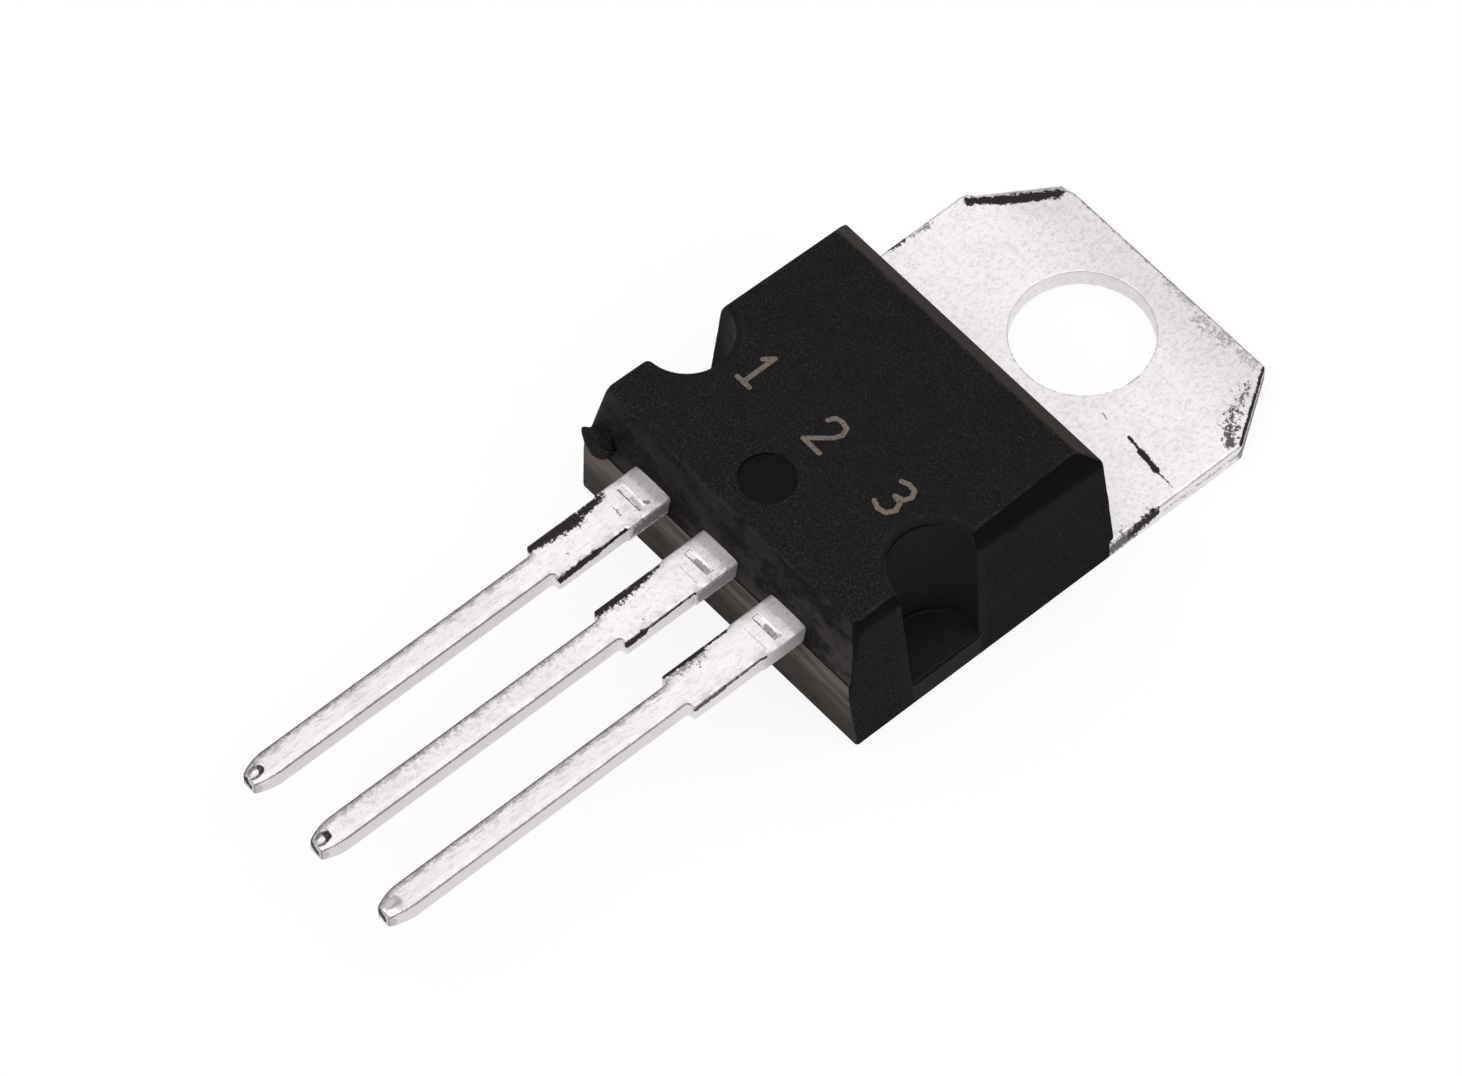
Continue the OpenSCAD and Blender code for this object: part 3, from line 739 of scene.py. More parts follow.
def compound_finish(colours, s):
    """Black moulding compound: filler grains, rubbed edges partly painted as highlights, painted shade
    on the bevels, notch rims and ejector mark, and painted light on the notch walls, front wall, rear
    bevel and lip.
    """
    f = Finish("moulding_compound")
    across, along, height = f.axis("X"), f.axis("Y"), f.axis("Z")
    normal = f.add("ShaderNodeNewGeometry").outputs["Normal"]
    facing_side = f.math("ABSOLUTE", f.axis("X", normal))
    facing_rear = f.axis("Y", normal)
    facing_up = f.axis("Z", normal)
    top, face, level = BODY_HEIGHT / MM, s.face / MM, LEAD_LEVEL / MM
    parting = s.parting_edge / MM

    # Filler grains: fine noise and scattered specks, fewer towards the tab
    cloud = f.noise(1.1, 5.0, 0.62)
    grain = f.noise(20.0, 3.0, 0.78)
    specks = f.between(f.grains(22.0), 0.0, 0.36, 1.0, 0.0)
    scattered = f.between(f.noise(8.0, 2.0), 0.50, 0.62)
    grain_and_notch_light = f.math("ADD", f.math("MULTIPLY", specks, scattered),
                         f.between(grain, 0.48, 0.70, 0.0, 0.80), clamp=True)
    grain_and_notch_light = f.math("MULTIPLY", grain_and_notch_light, f.between(cloud, 0.35, 0.65, 0.60, 1.15))
    grain_and_notch_light = f.math("MULTIPLY", grain_and_notch_light, f.between(
        along, parting + 0.95, parting + 4.95, 1.12, 0.82))

    # Painted shade: the side bevels, the rims of the notches and the ejector mark are darker and less
    # glossy
    tilted = f.math("MULTIPLY", f.between(facing_up, 0.12, 0.3), f.between(facing_up, 0.93, 0.75))
    bevel_and_rim_shade = f.math("MULTIPLY", tilted, f.between(facing_side, 0.45, 0.75))
    notch_reach = reach_from(f, across, along, s.notch_offset, s.notch_axis)
    notch_radius, rim_radius = s.notch_radius / MM, (s.notch_radius + s.notch_rim) / MM
    in_notch = f.between(notch_reach, rim_radius + 0.05, rim_radius - 0.12)
    in_rim = f.math("MULTIPLY", in_notch, f.between(
        notch_reach, notch_radius - 0.05, notch_radius + 0.05))
    pin_reach = reach_from(f, across, along, 0.0, s.parting_edge + s.ejector_setback)
    pin_radius = s.ejector_diameter / 2 / MM
    in_pin = f.math("MULTIPLY", f.between(pin_reach, pin_radius + 0.03, pin_radius - 0.05),
                    f.between(height, face + 0.02, face - 0.03))
    bevel_and_rim_shade = f.math("MAXIMUM", bevel_and_rim_shade, f.math("MAXIMUM", f.math("MULTIPLY", in_rim, 0.45),
                                              f.math("MULTIPLY", in_pin, 0.75)))
    # Painted light: the notch walls take more pale grain than the notch floors, so they come out
    # lighter
    grain_and_notch_light = f.math("MAXIMUM", grain_and_notch_light, f.math("MULTIPLY", in_notch, f.between(
        facing_up, 0.8, 0.2, 0.22, 0.46)))

    # Painted light in a warm tone: a painted reflection on the rear bevel, and painted light below the
    # parting step
    bevel = f.math("MULTIPLY", f.between(facing_rear, 0.35, 0.6), f.between(facing_up, 0.25, 0.5))
    forward = f.math("MULTIPLY", f.between(facing_rear, -0.6, -0.85),
                     f.math("SUBTRACT", 1.0, in_notch))
    low_front = f.math("MULTIPLY", forward, f.between(height, level + 0.02, level - 0.02))
    bands = f.between(f.noise(1.0, 4.0, 0.6, place=f.stretched((0.5, 1.0, 3.0))), 0.36, 0.66)
    warm_light = f.math("MULTIPLY", bevel, f.between(cloud, 0.35, 0.65, 0.45, 0.75))
    warm_light = f.math("MAXIMUM", warm_light, f.math("MULTIPLY", low_front, f.between(
        bands, 0.0, 1.0, 0.50, 1.10)))

    # A painted reflection of the floor lightens the front wall in grey clouds, and painted light runs
    # along its lip in pale streaks
    reflection_clouds = f.between(f.noise(1.1, 5.0, 0.65, place=f.stretched((0.7, 1.0, 1.0))), 0.40, 0.60)
    front_reflection = f.math("MULTIPLY", forward, f.math("MULTIPLY", reflection_clouds, f.math(
        "MULTIPLY", f.between(height, top - 0.3, top - 1.6, 0.55, 1.0),
        f.between(across, -3.0, 4.0, 0.5, 1.0))))
    streaks = f.between(f.noise(1.0, 4.0, 0.6, place=f.stretched((0.35, 1.0, 4.0))), 0.34, 0.60)
    lip_light = f.math("MULTIPLY", low_front, f.math("MULTIPLY", f.between(
        height, level - 1.7, level - 0.4, 0.0, 0.52), f.between(streaks, 0.0, 1.0, 0.30, 1.0)))

    # Lighter rounded edges: partly wear, partly a painted edge highlight
    rub_and_highlight = f.math("MULTIPLY", f.attribute(WEAR), f.between(f.noise(1.3, 5.0, 0.7), 0.38, 0.70))
    rub_and_highlight = f.math("MULTIPLY", rub_and_highlight, f.math("MULTIPLY_ADD", f.math("MAXIMUM", bevel_and_rim_shade, in_notch),
                                         -0.32, 0.34))
    tone = f.blend(grain_and_notch_light, colours.compound, colours.compound_grain)
    for share, layer in ((front_reflection, colours.compound_front_reflection), (warm_light, colours.compound_warm_light),
                         (lip_light, colours.compound_lip_light), (rub_and_highlight, colours.compound_wear_and_highlight),
                         (bevel_and_rim_shade, colours.compound_bevel_and_rim_shade)):
        tone = f.blend(share, tone, layer)

    pits = f.bump(f.math("ADD", f.math("MULTIPLY", grain, 0.5), specks), 0.006 * MM, 0.6)
    rough = f.between(cloud, 0.3, 0.7, 0.52, 0.64)
    turned = f.add("ShaderNodeLayerWeight", {"Blend": 0.5}).outputs["Facing"]
    gloss = f.math("MULTIPLY", f.between(turned, 0.2, 0.6, 0.065, 0.022),
                   f.math("MULTIPLY_ADD", bevel_and_rim_shade, -0.55, 1.0))
    return f.shade(Base_Color=tone, Roughness=rough, Specular_IOR_Level=gloss, Normal=pits)


def figure_finish(colours):
    """Printed figures: a thin pale burn in the compound, broken by its grain."""
    f = Finish("marking")
    broken = f.between(f.noise(14.0, 3.0, 0.7), 0.50, 0.66)
    tone = f.blend(f.math("MULTIPLY", broken, 0.6), colours.marking, colours.compound)
    return f.shade(Base_Color=tone, Roughness=0.8, Specular_IOR_Level=0.2,
                   Normal=f.bump(f.noise(22.0, 2.0), 0.004 * MM, 0.5))


# How far the tin's grain is squeezed along each axis
TAB_GRAIN = (1.0, 0.7, 1.0)
LEAD_GRAIN = (1.3, 0.35, 1.3)

# Smears and scratches on the tin, with some painted shade and a painted reflection: start, end, half
# width, raggedness and strength, in mm
TAB_SOIL_AND_SHADE = (
    ((-4.93, 0.56, 0.6), (-4.42, 1.22, 0.6), 0.14, 0.08, 1.0),
    ((-4.42, 1.22, 0.6), (-3.90, 1.98, 0.6), 0.17, 0.08, 1.0),
    ((-3.90, 1.98, 0.6), (-3.58, 2.46, 0.6), 0.15, 0.09, 1.0),
    ((3.84, 2.74, 0.25), (5.16, 0.76, 0.25), 0.24, 0.14, 0.75),
    # Painted shade along the top edge of the right cut corner
    ((3.82, 2.77, 0.6), (5.18, 0.73, 0.6), 0.09, 0.03, 1.0),
    ((3.98, 2.02, 0.6), (4.36, 1.18, 0.6), 0.05, 0.34, 0.8),
    ((4.36, 1.18, 0.6), (4.76, 0.66, 0.6), 0.14, 0.34, 0.9),
    ((4.76, 0.66, 0.6), (4.98, 0.52, 0.6), 0.15, 0.14, 0.9),
    ((3.12, -1.27, 0.6), (3.85, -1.36, 0.6), 0.045, 0.03, 1.0),
    ((3.62, -1.34, 0.6), (4.32, -1.43, 0.6), 0.095, 0.04, 1.0),
    ((4.32, -1.43, 0.6), (4.95, -1.47, 0.6), 0.03, 0.04, 0.9),
    ((2.12, -1.26, 0.6), (2.44, -1.34, 0.6), 0.014, 0.03, 0.7),
    ((-5.16, -1.95, 0.56), (-5.14, -1.50, 0.56), 0.09, 0.07, 0.95),
    ((-5.10, -1.25, 0.6), (-5.04, -0.62, 0.6), 0.05, 0.13, 0.7),
    ((-3.60, 2.75, 0.57), (3.70, 2.78, 0.57), 0.035, 0.08, 0.6),
    ((5.2, -3.66, 0.30), (5.2, -3.02, 0.32), 0.27, 0.16, 0.85),
    ((5.2, -3.02, 0.36), (5.2, -2.32, 0.44), 0.21, 0.12, 1.0),
    ((0.3, 2.72, 0.6), (1.1, 2.68, 0.6), 0.10, 0.30, 0.35),
    ((1.6, 2.55, 0.6), (2.6, 2.60, 0.6), 0.12, 0.34, 0.45),
    ((3.1, 2.62, 0.6), (3.6, 2.60, 0.6), 0.10, 0.22, 0.35),
    ((5.2, -1.9, 0.30), (5.2, 0.60, 0.30), 0.03, 0.12, 0.5),
)
# The same on the leads, with x from the middle of the lead: first what all three carry
EVERY_LEAD_SOIL_AND_SHADE = (
    ((-0.35, -13.06, 3.07), (0.42, -13.06, 3.07), 0.028, 0.03, 0.75),
    # Painted reflection of the dark housing: a grey band on the stub next to it
    ((-0.56, -12.46, 3.1), (0.58, -12.46, 3.1), 0.13, 0.08, 0.3),
    # Painted shade along the left of the tip
    ((-0.30, -25.05, 3.05), (-0.14, -25.32, 2.97), 0.10, 0.07, 0.47),
    ((-0.38, -25.00, 3.02), (-0.20, -25.38, 2.95), 0.05, 0.05, 0.67),
    ((-0.11, -25.4, 2.85), (0.04, -25.4, 2.75), 0.125, 0.06, 0.97),
    ((-0.20, -25.4, 2.76), (0.20, -25.4, 2.76), 0.24, 0.02, 0.26),
    ((0.21, -25.4, 2.96), (0.21, -25.4, 2.56), 0.03, 0.01, 0.6),
    ((0.37, -25.09, 2.99), (0.39, -24.97, 3.00), 0.04, 0.02, 1.0),
)
LEAD_SOIL_AND_SHADE = {
    "input": (
        ((-0.56, -15.80, 3.06), (-0.48, -15.20, 3.08), 0.20, 0.09, 1.0),
        ((-0.48, -15.20, 3.08), (-0.43, -14.40, 3.08), 0.23, 0.13, 1.0),
        ((-0.43, -14.40, 3.08), (-0.54, -13.55, 3.08), 0.14, 0.12, 1.0),
        ((0.64, -15.80, 2.93), (0.64, -14.60, 2.97), 0.15, 0.05, 1.0),
        ((0.64, -14.60, 2.98), (0.64, -13.70, 3.03), 0.08, 0.04, 1.0),
        ((0.66, -13.3, 2.78), (0.66, -12.4, 2.80), 0.24, 0.12, 0.75),
        ((0.04, -12.99, 3.07), (0.34, -12.99, 3.07), 0.06, 0.05, 0.40),
        ((0.32, -12.80, 3.1), (0.39, -12.74, 3.1), 0.06, 0.05, 0.7),
        ((-0.06, -13.5, 3.1), (0.24, -13.52, 3.1), 0.03, 0.06, 0.6),
        ((0.22, -15.26, 3.1), (0.23, -15.24, 3.1), 0.03, 0.02, 0.7),
        # Painted shade in the dimple
        ((-0.08, -24.97, 3.0), (0.07, -25.02, 3.0), 0.09, 0.04, 0.9),
    ),
    "ground": (
        ((-0.56, -15.80, 3.06), (-0.50, -15.10, 3.08), 0.19, 0.12, 1.0),
        ((-0.50, -15.10, 3.08), (-0.56, -14.30, 3.08), 0.16, 0.14, 1.0),
        ((-0.56, -14.30, 3.08), (-0.60, -13.80, 3.08), 0.09, 0.12, 1.0),
        ((0.64, -15.82, 2.94), (0.64, -15.30, 2.96), 0.14, 0.05, 1.0),
        ((0.64, -15.30, 2.99), (0.64, -13.65, 3.05), 0.05, 0.03, 1.0),
        ((0.66, -13.4, 2.78), (0.66, -12.4, 2.80), 0.24, 0.14, 0.6),
        ((-0.06, -12.98, 3.07), (0.34, -12.97, 3.07), 0.08, 0.04, 0.62),
        ((-0.30, -13.42, 3.1), (0.50, -13.42, 3.1), 0.016, 0.02, 0.3),
        ((0.38, -15.12, 3.1), (0.38, -15.11, 3.1), 0.03, 0.02, 0.9),
        # Painted shade in the dimple
        ((-0.08, -24.98, 3.0), (0.07, -25.02, 3.0), 0.095, 0.04, 0.95),
    ),
    "output": (
        ((-0.58, -15.82, 3.07), (-0.56, -14.60, 3.08), 0.09, 0.05, 1.0),
        ((-0.56, -14.60, 3.08), (-0.58, -13.80, 3.08), 0.05, 0.05, 1.0),
        ((-0.46, -15.70, 3.1), (-0.44, -14.70, 3.1), 0.13, 0.16, 0.6),
        ((0.64, -15.82, 2.96), (0.64, -14.90, 2.98), 0.09, 0.04, 0.9),
        ((0.64, -14.90, 2.99), (0.64, -13.55, 3.04), 0.05, 0.03, 0.9),
        ((0.66, -13.4, 2.78), (0.66, -12.4, 2.80), 0.25, 0.16, 0.12),
        ((-0.02, -12.98, 3.07), (0.34, -12.97, 3.07), 0.08, 0.04, 0.60),
        ((-0.30, -13.42, 3.1), (0.50, -13.42, 3.1), 0.016, 0.02, 0.3),
        ((-0.18, -15.00, 3.1), (-0.18, -14.99, 3.1), 0.03, 0.02, 0.8),
        # Painted shade in the dimple
        ((-0.08, -25.16, 3.0), (-0.02, -24.98, 3.04), 0.17, 0.05, 0.42),
    ),
}


def lead_soil_and_shade(lead, middle):
    """The marks of one lead, moved to its middle across."""
    shift = Vector((middle / MM, 0.0, 0.0))
    return tuple((Vector(start) + shift, Vector(end) + shift, *rest)
                 for start, end, *rest in EVERY_LEAD_SOIL_AND_SHADE + LEAD_SOIL_AND_SHADE[lead])


# Where a smear starts to fade and ends, as shares of its half width
SMEAR_CORE = 0.72
SMEAR_END = 1.08


def soil_and_shade_group():
    """Node group: how strongly a smear from one point to another covers a place."""
    tree = bpy.data.node_groups.new("smear", "ShaderNodeTree")
    for name, kind in (("Place", "NodeSocketVector"), ("From", "NodeSocketVector"),
                       ("Run", "NodeSocketVector"), ("Inverse Square", "NodeSocketFloat"),
                       ("Half Width", "NodeSocketFloat"), ("Ragged", "NodeSocketFloat"),
                       ("Waves", "NodeSocketFloat"), ("Strength", "NodeSocketFloat")):
        tree.interface.new_socket(name, in_out="INPUT", socket_type=kind)
    tree.interface.new_socket("Cover", in_out="OUTPUT", socket_type="NodeSocketFloat")
    given = tree.nodes.new("NodeGroupInput").outputs
    result = tree.nodes.new("NodeGroupOutput")

    def maths(operation, *values, kind="ShaderNodeMath"):
        node = tree.nodes.new(kind)
        node.operation = operation
        for socket, value in zip(node.inputs, values):
            if isinstance(value, bpy.types.NodeSocket):
                tree.links.new(value, socket)
            elif value is not None:
                socket.default_value = value
        return node

    def vectors(operation, *values):
        return maths(operation, *values, kind="ShaderNodeVectorMath")

    offset = vectors("SUBTRACT", given["Place"], given["From"]).outputs["Vector"]
    dot = vectors("DOT_PRODUCT", offset, given["Run"]).outputs["Value"]
    along = maths("MULTIPLY", dot, given["Inverse Square"])
    along.use_clamp = True
    foot = vectors("SCALE", given["Run"])
    tree.links.new(along.outputs[0], foot.inputs[3])
    away = vectors("DISTANCE", offset, foot.outputs["Vector"]).outputs["Value"]
    rag = maths("MULTIPLY", given["Ragged"], given["Waves"]).outputs[0]
    away = maths("ADD", away, rag).outputs[0]
    ratio = maths("DIVIDE", away, given["Half Width"]).outputs[0]
    ramp = tree.nodes.new("ShaderNodeMapRange")
    ramp.interpolation_type = "SMOOTHSTEP"
    for name, value in (("From Min", SMEAR_CORE), ("From Max", SMEAR_END), ("To Min", 1.0),
                        ("To Max", 0.0)):
        ramp.inputs[name].default_value = value
    tree.links.new(ratio, ramp.inputs["Value"])
    cover = maths("MULTIPLY", ramp.outputs["Result"], given["Strength"]).outputs[0]
    tree.links.new(cover, result.inputs["Cover"])
    return tree


def soil_and_shade_cover(f, marks):
    """Covers the tin with each mark in turn and returns how dark each place is."""
    group = bpy.data.node_groups.get("smear") or soil_and_shade_group()
    fine = f.noise(9.0, 5.0, 0.75)
    waves = f.between(fine, 0.32, 0.68, -1.0, 1.0, smooth=False)
    total = None
    for start, end, half_width, ragged, strength in marks:
        start = Vector(start)
        run = Vector(end) - start
        node = f.add("ShaderNodeGroup", node_tree=group)
        for name, value in (("Place", f.place), ("From", tuple(start)), ("Run", tuple(run)),
                            ("Inverse Square", 1.0 / max(run.length_squared, 1e-6)),
                            ("Half Width", half_width), ("Ragged", ragged), ("Waves", waves),
                            ("Strength", strength)):
            f.feed(node.inputs[name], value)
        cover = node.outputs["Cover"]
        total = cover if total is None else f.math("MAXIMUM", total, cover)
    return total


def tin_finish(colours, s, name, marks, grain_scales, middle):
    """Matt tin plating: grey clouds, fine grain, marks, painted shade and a painted highlight; middle
    is its lead's place across.
    """
    f = Finish(name)
    across, along = f.axis("X"), f.axis("Y")
    run = f.math("SUBTRACT", across, middle / MM)
    normal = f.add("ShaderNodeNewGeometry").outputs["Normal"]
    facing_right, facing_up = f.axis("X", normal), f.axis("Z", normal)
    parting, shoulder, tab_end = s.parting_edge / MM, s.shoulder / MM, TAB_END / MM
    half = s.narrow_width / 2 / MM
    narrow = f.between(along, shoulder + 0.07, shoulder - 0.43)

    clouds = f.noise(0.8, 6.0, 0.65, 0.3)
    grain = f.noise(8.5, 5.0, 0.74, place=f.stretched(grain_scales))
    fine = f.noise(19.0, 3.0, 0.7)
    peel = f.noise(4.0, 3.0, 0.55)
    pits = f.math("MULTIPLY", f.between(f.grains(5.5), 0.0, 0.20, 1.0, 0.0),
                  f.between(f.noise(1.7, 4.0, 0.7), 0.50, 0.62))

    # The tab gets darker towards its far end, and the narrow leads get darker than the rest
    end_darkening = f.math("MAXIMUM", f.between(along, tab_end - 2.6, tab_end - 0.4, 0.0, 0.5),
                  f.between(along, shoulder + 0.07, shoulder - 2.13, 0.0, 0.25))
    share = f.math("ADD", f.between(clouds, 0.46, 0.74, 0.0, 0.25), end_darkening)
    share = f.math("ADD", share, f.between(grain, 0.45, 0.68, 0.0, 0.60), clamp=True)
    share = f.math("ADD", share, f.between(fine, 0.50, 0.70, 0.0, 0.40), clamp=True)
    share = f.math("MULTIPLY", share, f.between(facing_up, 0.2, 0.7, 0.6, 1.0))

    # The leads' sheared sides are duller, and a painted highlight, a bright strip, follows the right
    # edge on top
    sheared = f.math("MULTIPLY", f.between(f.math("ABSOLUTE", facing_right), 0.45, 0.75), f.math(
        "MAXIMUM", f.between(along, parting + 0.45, parting - 0.55, 0.0, 0.28), f.between(
            along, shoulder + 0.37, shoulder - 0.63, 0.0, 0.56)))
    share = f.math("MAXIMUM", share, sheared)
    painted_highlight = f.math("MULTIPLY", f.between(run, half - 0.23, half - 0.13), f.math(
        "MULTIPLY", narrow, f.between(facing_up, 0.4, 0.8)))
    share = f.math("MULTIPLY", share, f.math("MULTIPLY_ADD", painted_highlight, -0.8, 1.0))
    tone = f.blend(share, colours.tin, colours.tin_shade)
    tone = f.blend(f.math("MULTIPLY", pits, 0.7), tone, colours.tin_scuff_and_shade)

    # Painted shade: a ragged grey band and a darker border lie along the left edge of each narrow lead
    left_band_shade = f.math("MULTIPLY", f.between(along, shoulder + 0.17, shoulder - 0.33), f.between(
        f.math("MULTIPLY_ADD", f.between(grain, 0.38, 0.62, -1.0, 1.0), -0.08, run),
        0.01 - half, 0.29 - half, 0.85, 0.0))
    tone = f.blend(left_band_shade, tone, colours.tin_scuff_and_shade)
    left_border_shade = f.math("MULTIPLY", narrow, f.between(
        f.math("MULTIPLY_ADD", f.between(fine, 0.38, 0.62, -1.0, 1.0), 0.06, run),
        0.015 - half, 0.14 - half, 0.65, 0.0))
    tone = f.blend(left_border_shade, tone, colours.tin_soil_and_shade)

    # Painted shade: thin dark lines follow the rounded edges, the right one of a lead and the left
    # one where the lead is narrow
    rounded = f.math("MULTIPLY", f.between(facing_up, 0.95, 0.80), f.between(facing_up, 0.10, 0.35))
    line = f.math("MULTIPLY", rounded, f.math("MULTIPLY", f.between(facing_right, 0.2, 0.4),
                                              f.between(along, parting - 1.05, parting - 1.25)))
    tone = f.blend(f.math("MULTIPLY", line, f.between(fine, 0.40, 0.60, 0.30, 0.60)), tone,
                   colours.tin_soil_and_shade)
    rim = f.math("MULTIPLY", f.between(facing_up, 0.985, 0.90), f.between(facing_up, 0.0, 0.2))
    rim = f.math("MULTIPLY", rim, f.math("MULTIPLY", f.between(facing_right, -0.08, -0.25), narrow))
    tone = f.blend(f.math("MULTIPLY", rim, f.between(fine, 0.36, 0.60, 0.45, 0.90)), tone,
                   colours.tin_soil_and_shade)
    edge = f.math("MULTIPLY", f.attribute(WEAR), f.between(f.noise(2.0, 4.0, 0.7), 0.36, 0.60))
    tone = f.blend(f.math("MULTIPLY", edge, 0.6), tone, colours.tin_scuff_and_shade)
    soil_and_shade = soil_and_shade_cover(f, marks)
    tone = f.blend(soil_and_shade, tone, colours.tin_soil_and_shade)

    # Soil and the painted shade and reflection marks are duller than the metal under them
    metal = f.math("MULTIPLY_ADD", soil_and_shade, -0.6, 0.65)
    gloss = f.math("MULTIPLY_ADD", soil_and_shade, -0.42, 0.5)
    rough = f.math("ADD", f.between(grain, 0.3, 0.7, 0.30, 0.42), f.math("MULTIPLY", soil_and_shade, 0.25))
    uneven = f.bump(peel, 0.014 * MM, 0.5)
    bumps = f.bump(f.math("ADD", grain, f.math("MULTIPLY", fine, 0.5)), 0.006 * MM, 0.7,
                   normal=uneven)
    return f.shade(Base_Color=tone, Metallic=metal, Roughness=rough, Specular_IOR_Level=gloss,
                   Normal=bumps)


def plain_finish(name, tone, metallic, roughness, scale):
    """A hidden piece's finish: one tone with a slight cloud."""
    f = Finish(name)
    shade = [0.8 * v for v in tone]
    mixed = f.blend(f.between(f.noise(scale, 3.0), 0.35, 0.65), tone, shade)
    return f.shade(Base_Color=mixed, Metallic=metallic, Roughness=roughness)


# Operators

class REGULATOR_OT_housing(bpy.types.Operator):
    """Add the moulded housing with its notches, bevels, parting step, ejector mark and gate stub"""
    bl_idname = "regulator.add_housing"
    bl_label = "Moulded housing"

    def execute(self, context):
        s = Sizes(context)
        grid = (ticks(HOUSING_ACROSS), ticks(HOUSING_ALONG, BODY_LOW.y), ticks(HOUSING_UP))
        piece = field_piece(
            "compound_housing", lambda x, y, z: housing_field(x, y, z, s),
            lambda x, y, z: housing_field(x, y, z, s, 0.0), WORN_SHARE * s.wall_edge, grid,
            compound_finish(context.scene.finishes, s))
        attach(piece, BODY)
        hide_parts("moulded_body")
        return {"FINISHED"}


class REGULATOR_OT_tab(bpy.types.Operator):
    """Add the tinned tab with its screw hole, the pad under the housing and the middle lead"""
    bl_idname = "regulator.add_tab"
    bl_label = "Tab and ground lead"

    def execute(self, context):
        s = Sizes(context)
        grid = (ticks(TAB_ACROSS), ticks(TAB_ALONG, LEAD_TIP), ticks(TAB_UP))
        marks = TAB_SOIL_AND_SHADE + lead_soil_and_shade("ground", 0.0)
        piece = field_piece(
            "tinned_tab_and_ground_lead", lambda x, y, z: tab_field(x, y, z, s),
            lambda x, y, z: tab_field(x, y, z, s, 0.0), WORN_SHARE * s.lead_edge, grid,
            tin_finish(context.scene.finishes, s, "tab_tin", marks, TAB_GRAIN, 0.0))
        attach(piece, BODY)
        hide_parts("tab_and_ground_lead")
        return {"FINISHED"}


class REGULATOR_OT_outer_leads(bpy.types.Operator):
    """Add the input and output leads with their posts inside the housing"""
    bl_idname = "regulator.add_outer_leads"
    bl_label = "Outer leads"

    def execute(self, context):
        s = Sizes(context)
        for lead, middle, mark_depth, lift in (
                ("input", -PITCH, FAINT_MARK * s.mark_depth, 0.0),
                ("output", PITCH, s.mark_depth, SHALLOW_DIMPLE_LIFT)):
            node = f"{lead}_lead"
            grid = (ticks(OUTER_ACROSS, middle), ticks(OUTER_ALONG, LEAD_TIP), ticks(OUTER_UP))

            def field(x, y, z, soft=1.0, middle=middle, depth=mark_depth, lift=lift):
                return outer_lead_field(x - middle, y, z, s, soft, depth, lift)

            piece = field_piece(
                f"tinned_{node}", field, lambda x, y, z: field(x, y, z, 0.0),
                WORN_SHARE * s.lead_edge, grid,
                tin_finish(context.scene.finishes, s, f"{lead}_tin", lead_soil_and_shade(lead, middle),
                           LEAD_GRAIN, middle))
            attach(piece, BODY)
            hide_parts(node)
        return {"FINISHED"}


class REGULATOR_OT_inside(bpy.types.Operator):
    """Give the die, its solder and the bond wires inside the housing their finishes"""
    bl_idname = "regulator.finish_inside"
    bl_label = "Die, solder and wires"

    def execute(self, context):
        colours = context.scene.finishes
        silicon = plain_finish("silicon", colours.silicon, 0.0, 0.15, 3.0)
        solder = plain_finish("solder", colours.solder, 1.0, 0.45, 4.0)
        gold = plain_finish("bond_gold", colours.gold, 1.0, 0.25, 9.0)
        for node, material in (("silicon_die", silicon), ("die_solder", solder),
                               ("input_bond_wire", gold), ("output_bond_wire", gold),
                               ("ground_bond_wire", gold)):
            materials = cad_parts[node].data.materials
            materials.clear()
            materials.append(material)
        return {"FINISHED"}


class REGULATOR_OT_pin_numbers(bpy.types.Operator):
    """Add the plain lead numbers 1, 2 and 3 printed on the top face"""
    bl_idname = "regulator.add_pin_numbers"
    bl_label = "Lead numbers"

    def execute(self, context):
        s = Sizes(context)
        material = figure_finish(context.scene.finishes)
        row = s.parting_edge + s.figure_row
        for figure, middle in (("1", -PITCH), ("2", 0.0), ("3", PITCH)):
            grid = (ticks(FIGURE_ACROSS, middle), ticks(FIGURE_ALONG, row), ticks(FIGURE_UP))

            def field(x, y, z, figure=figure, place=(middle, row)):
                return figure_field(x, y, z, s, figure, place)

            piece = field_piece(f"lead_number_{figure}", field, lambda x, y, z: np.ones(len(x)),
                                1.0, grid, material)
            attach(piece, BODY)
        return {"FINISHED"}


# Half the floor's width and how far it lies under the part, in metres
FLOOR_REACH = 0.6
FLOOR_DROP = 0.005 * MM
# Share of the floor's look that is light of its own, so that it comes out white
FLOOR_GLOW = 0.87
# The studio's walls as heights of the view direction and the brightness at each
SKY_LOW, SKY_LOW_LIGHT = 0.05, 0.12
SKY_HIGH, SKY_HIGH_LIGHT = 0.80, 1.12
WHITE = (1.0, 1.0, 1.0)
# Softboxes: name, azimuth and elevation in degrees, share of the full light; then, in metres,
# their size, how far off they hang and the point that they aim at
SOFTBOXES = (("softbox_front", 250, 62, 1.0), ("softbox_right", 20, 62, 0.8))
SOFTBOX_SIZE = 0.16
SOFTBOX_AWAY = 0.22
SOFTBOX_AIM = (0.0, -11.0 * MM, 0.0)
SOFTBOX_LIGHT = 1.2 * math.pi
# The lens of the camera
SENSOR_WIDTH = 36.0
NEAR_CLIP = 0.01


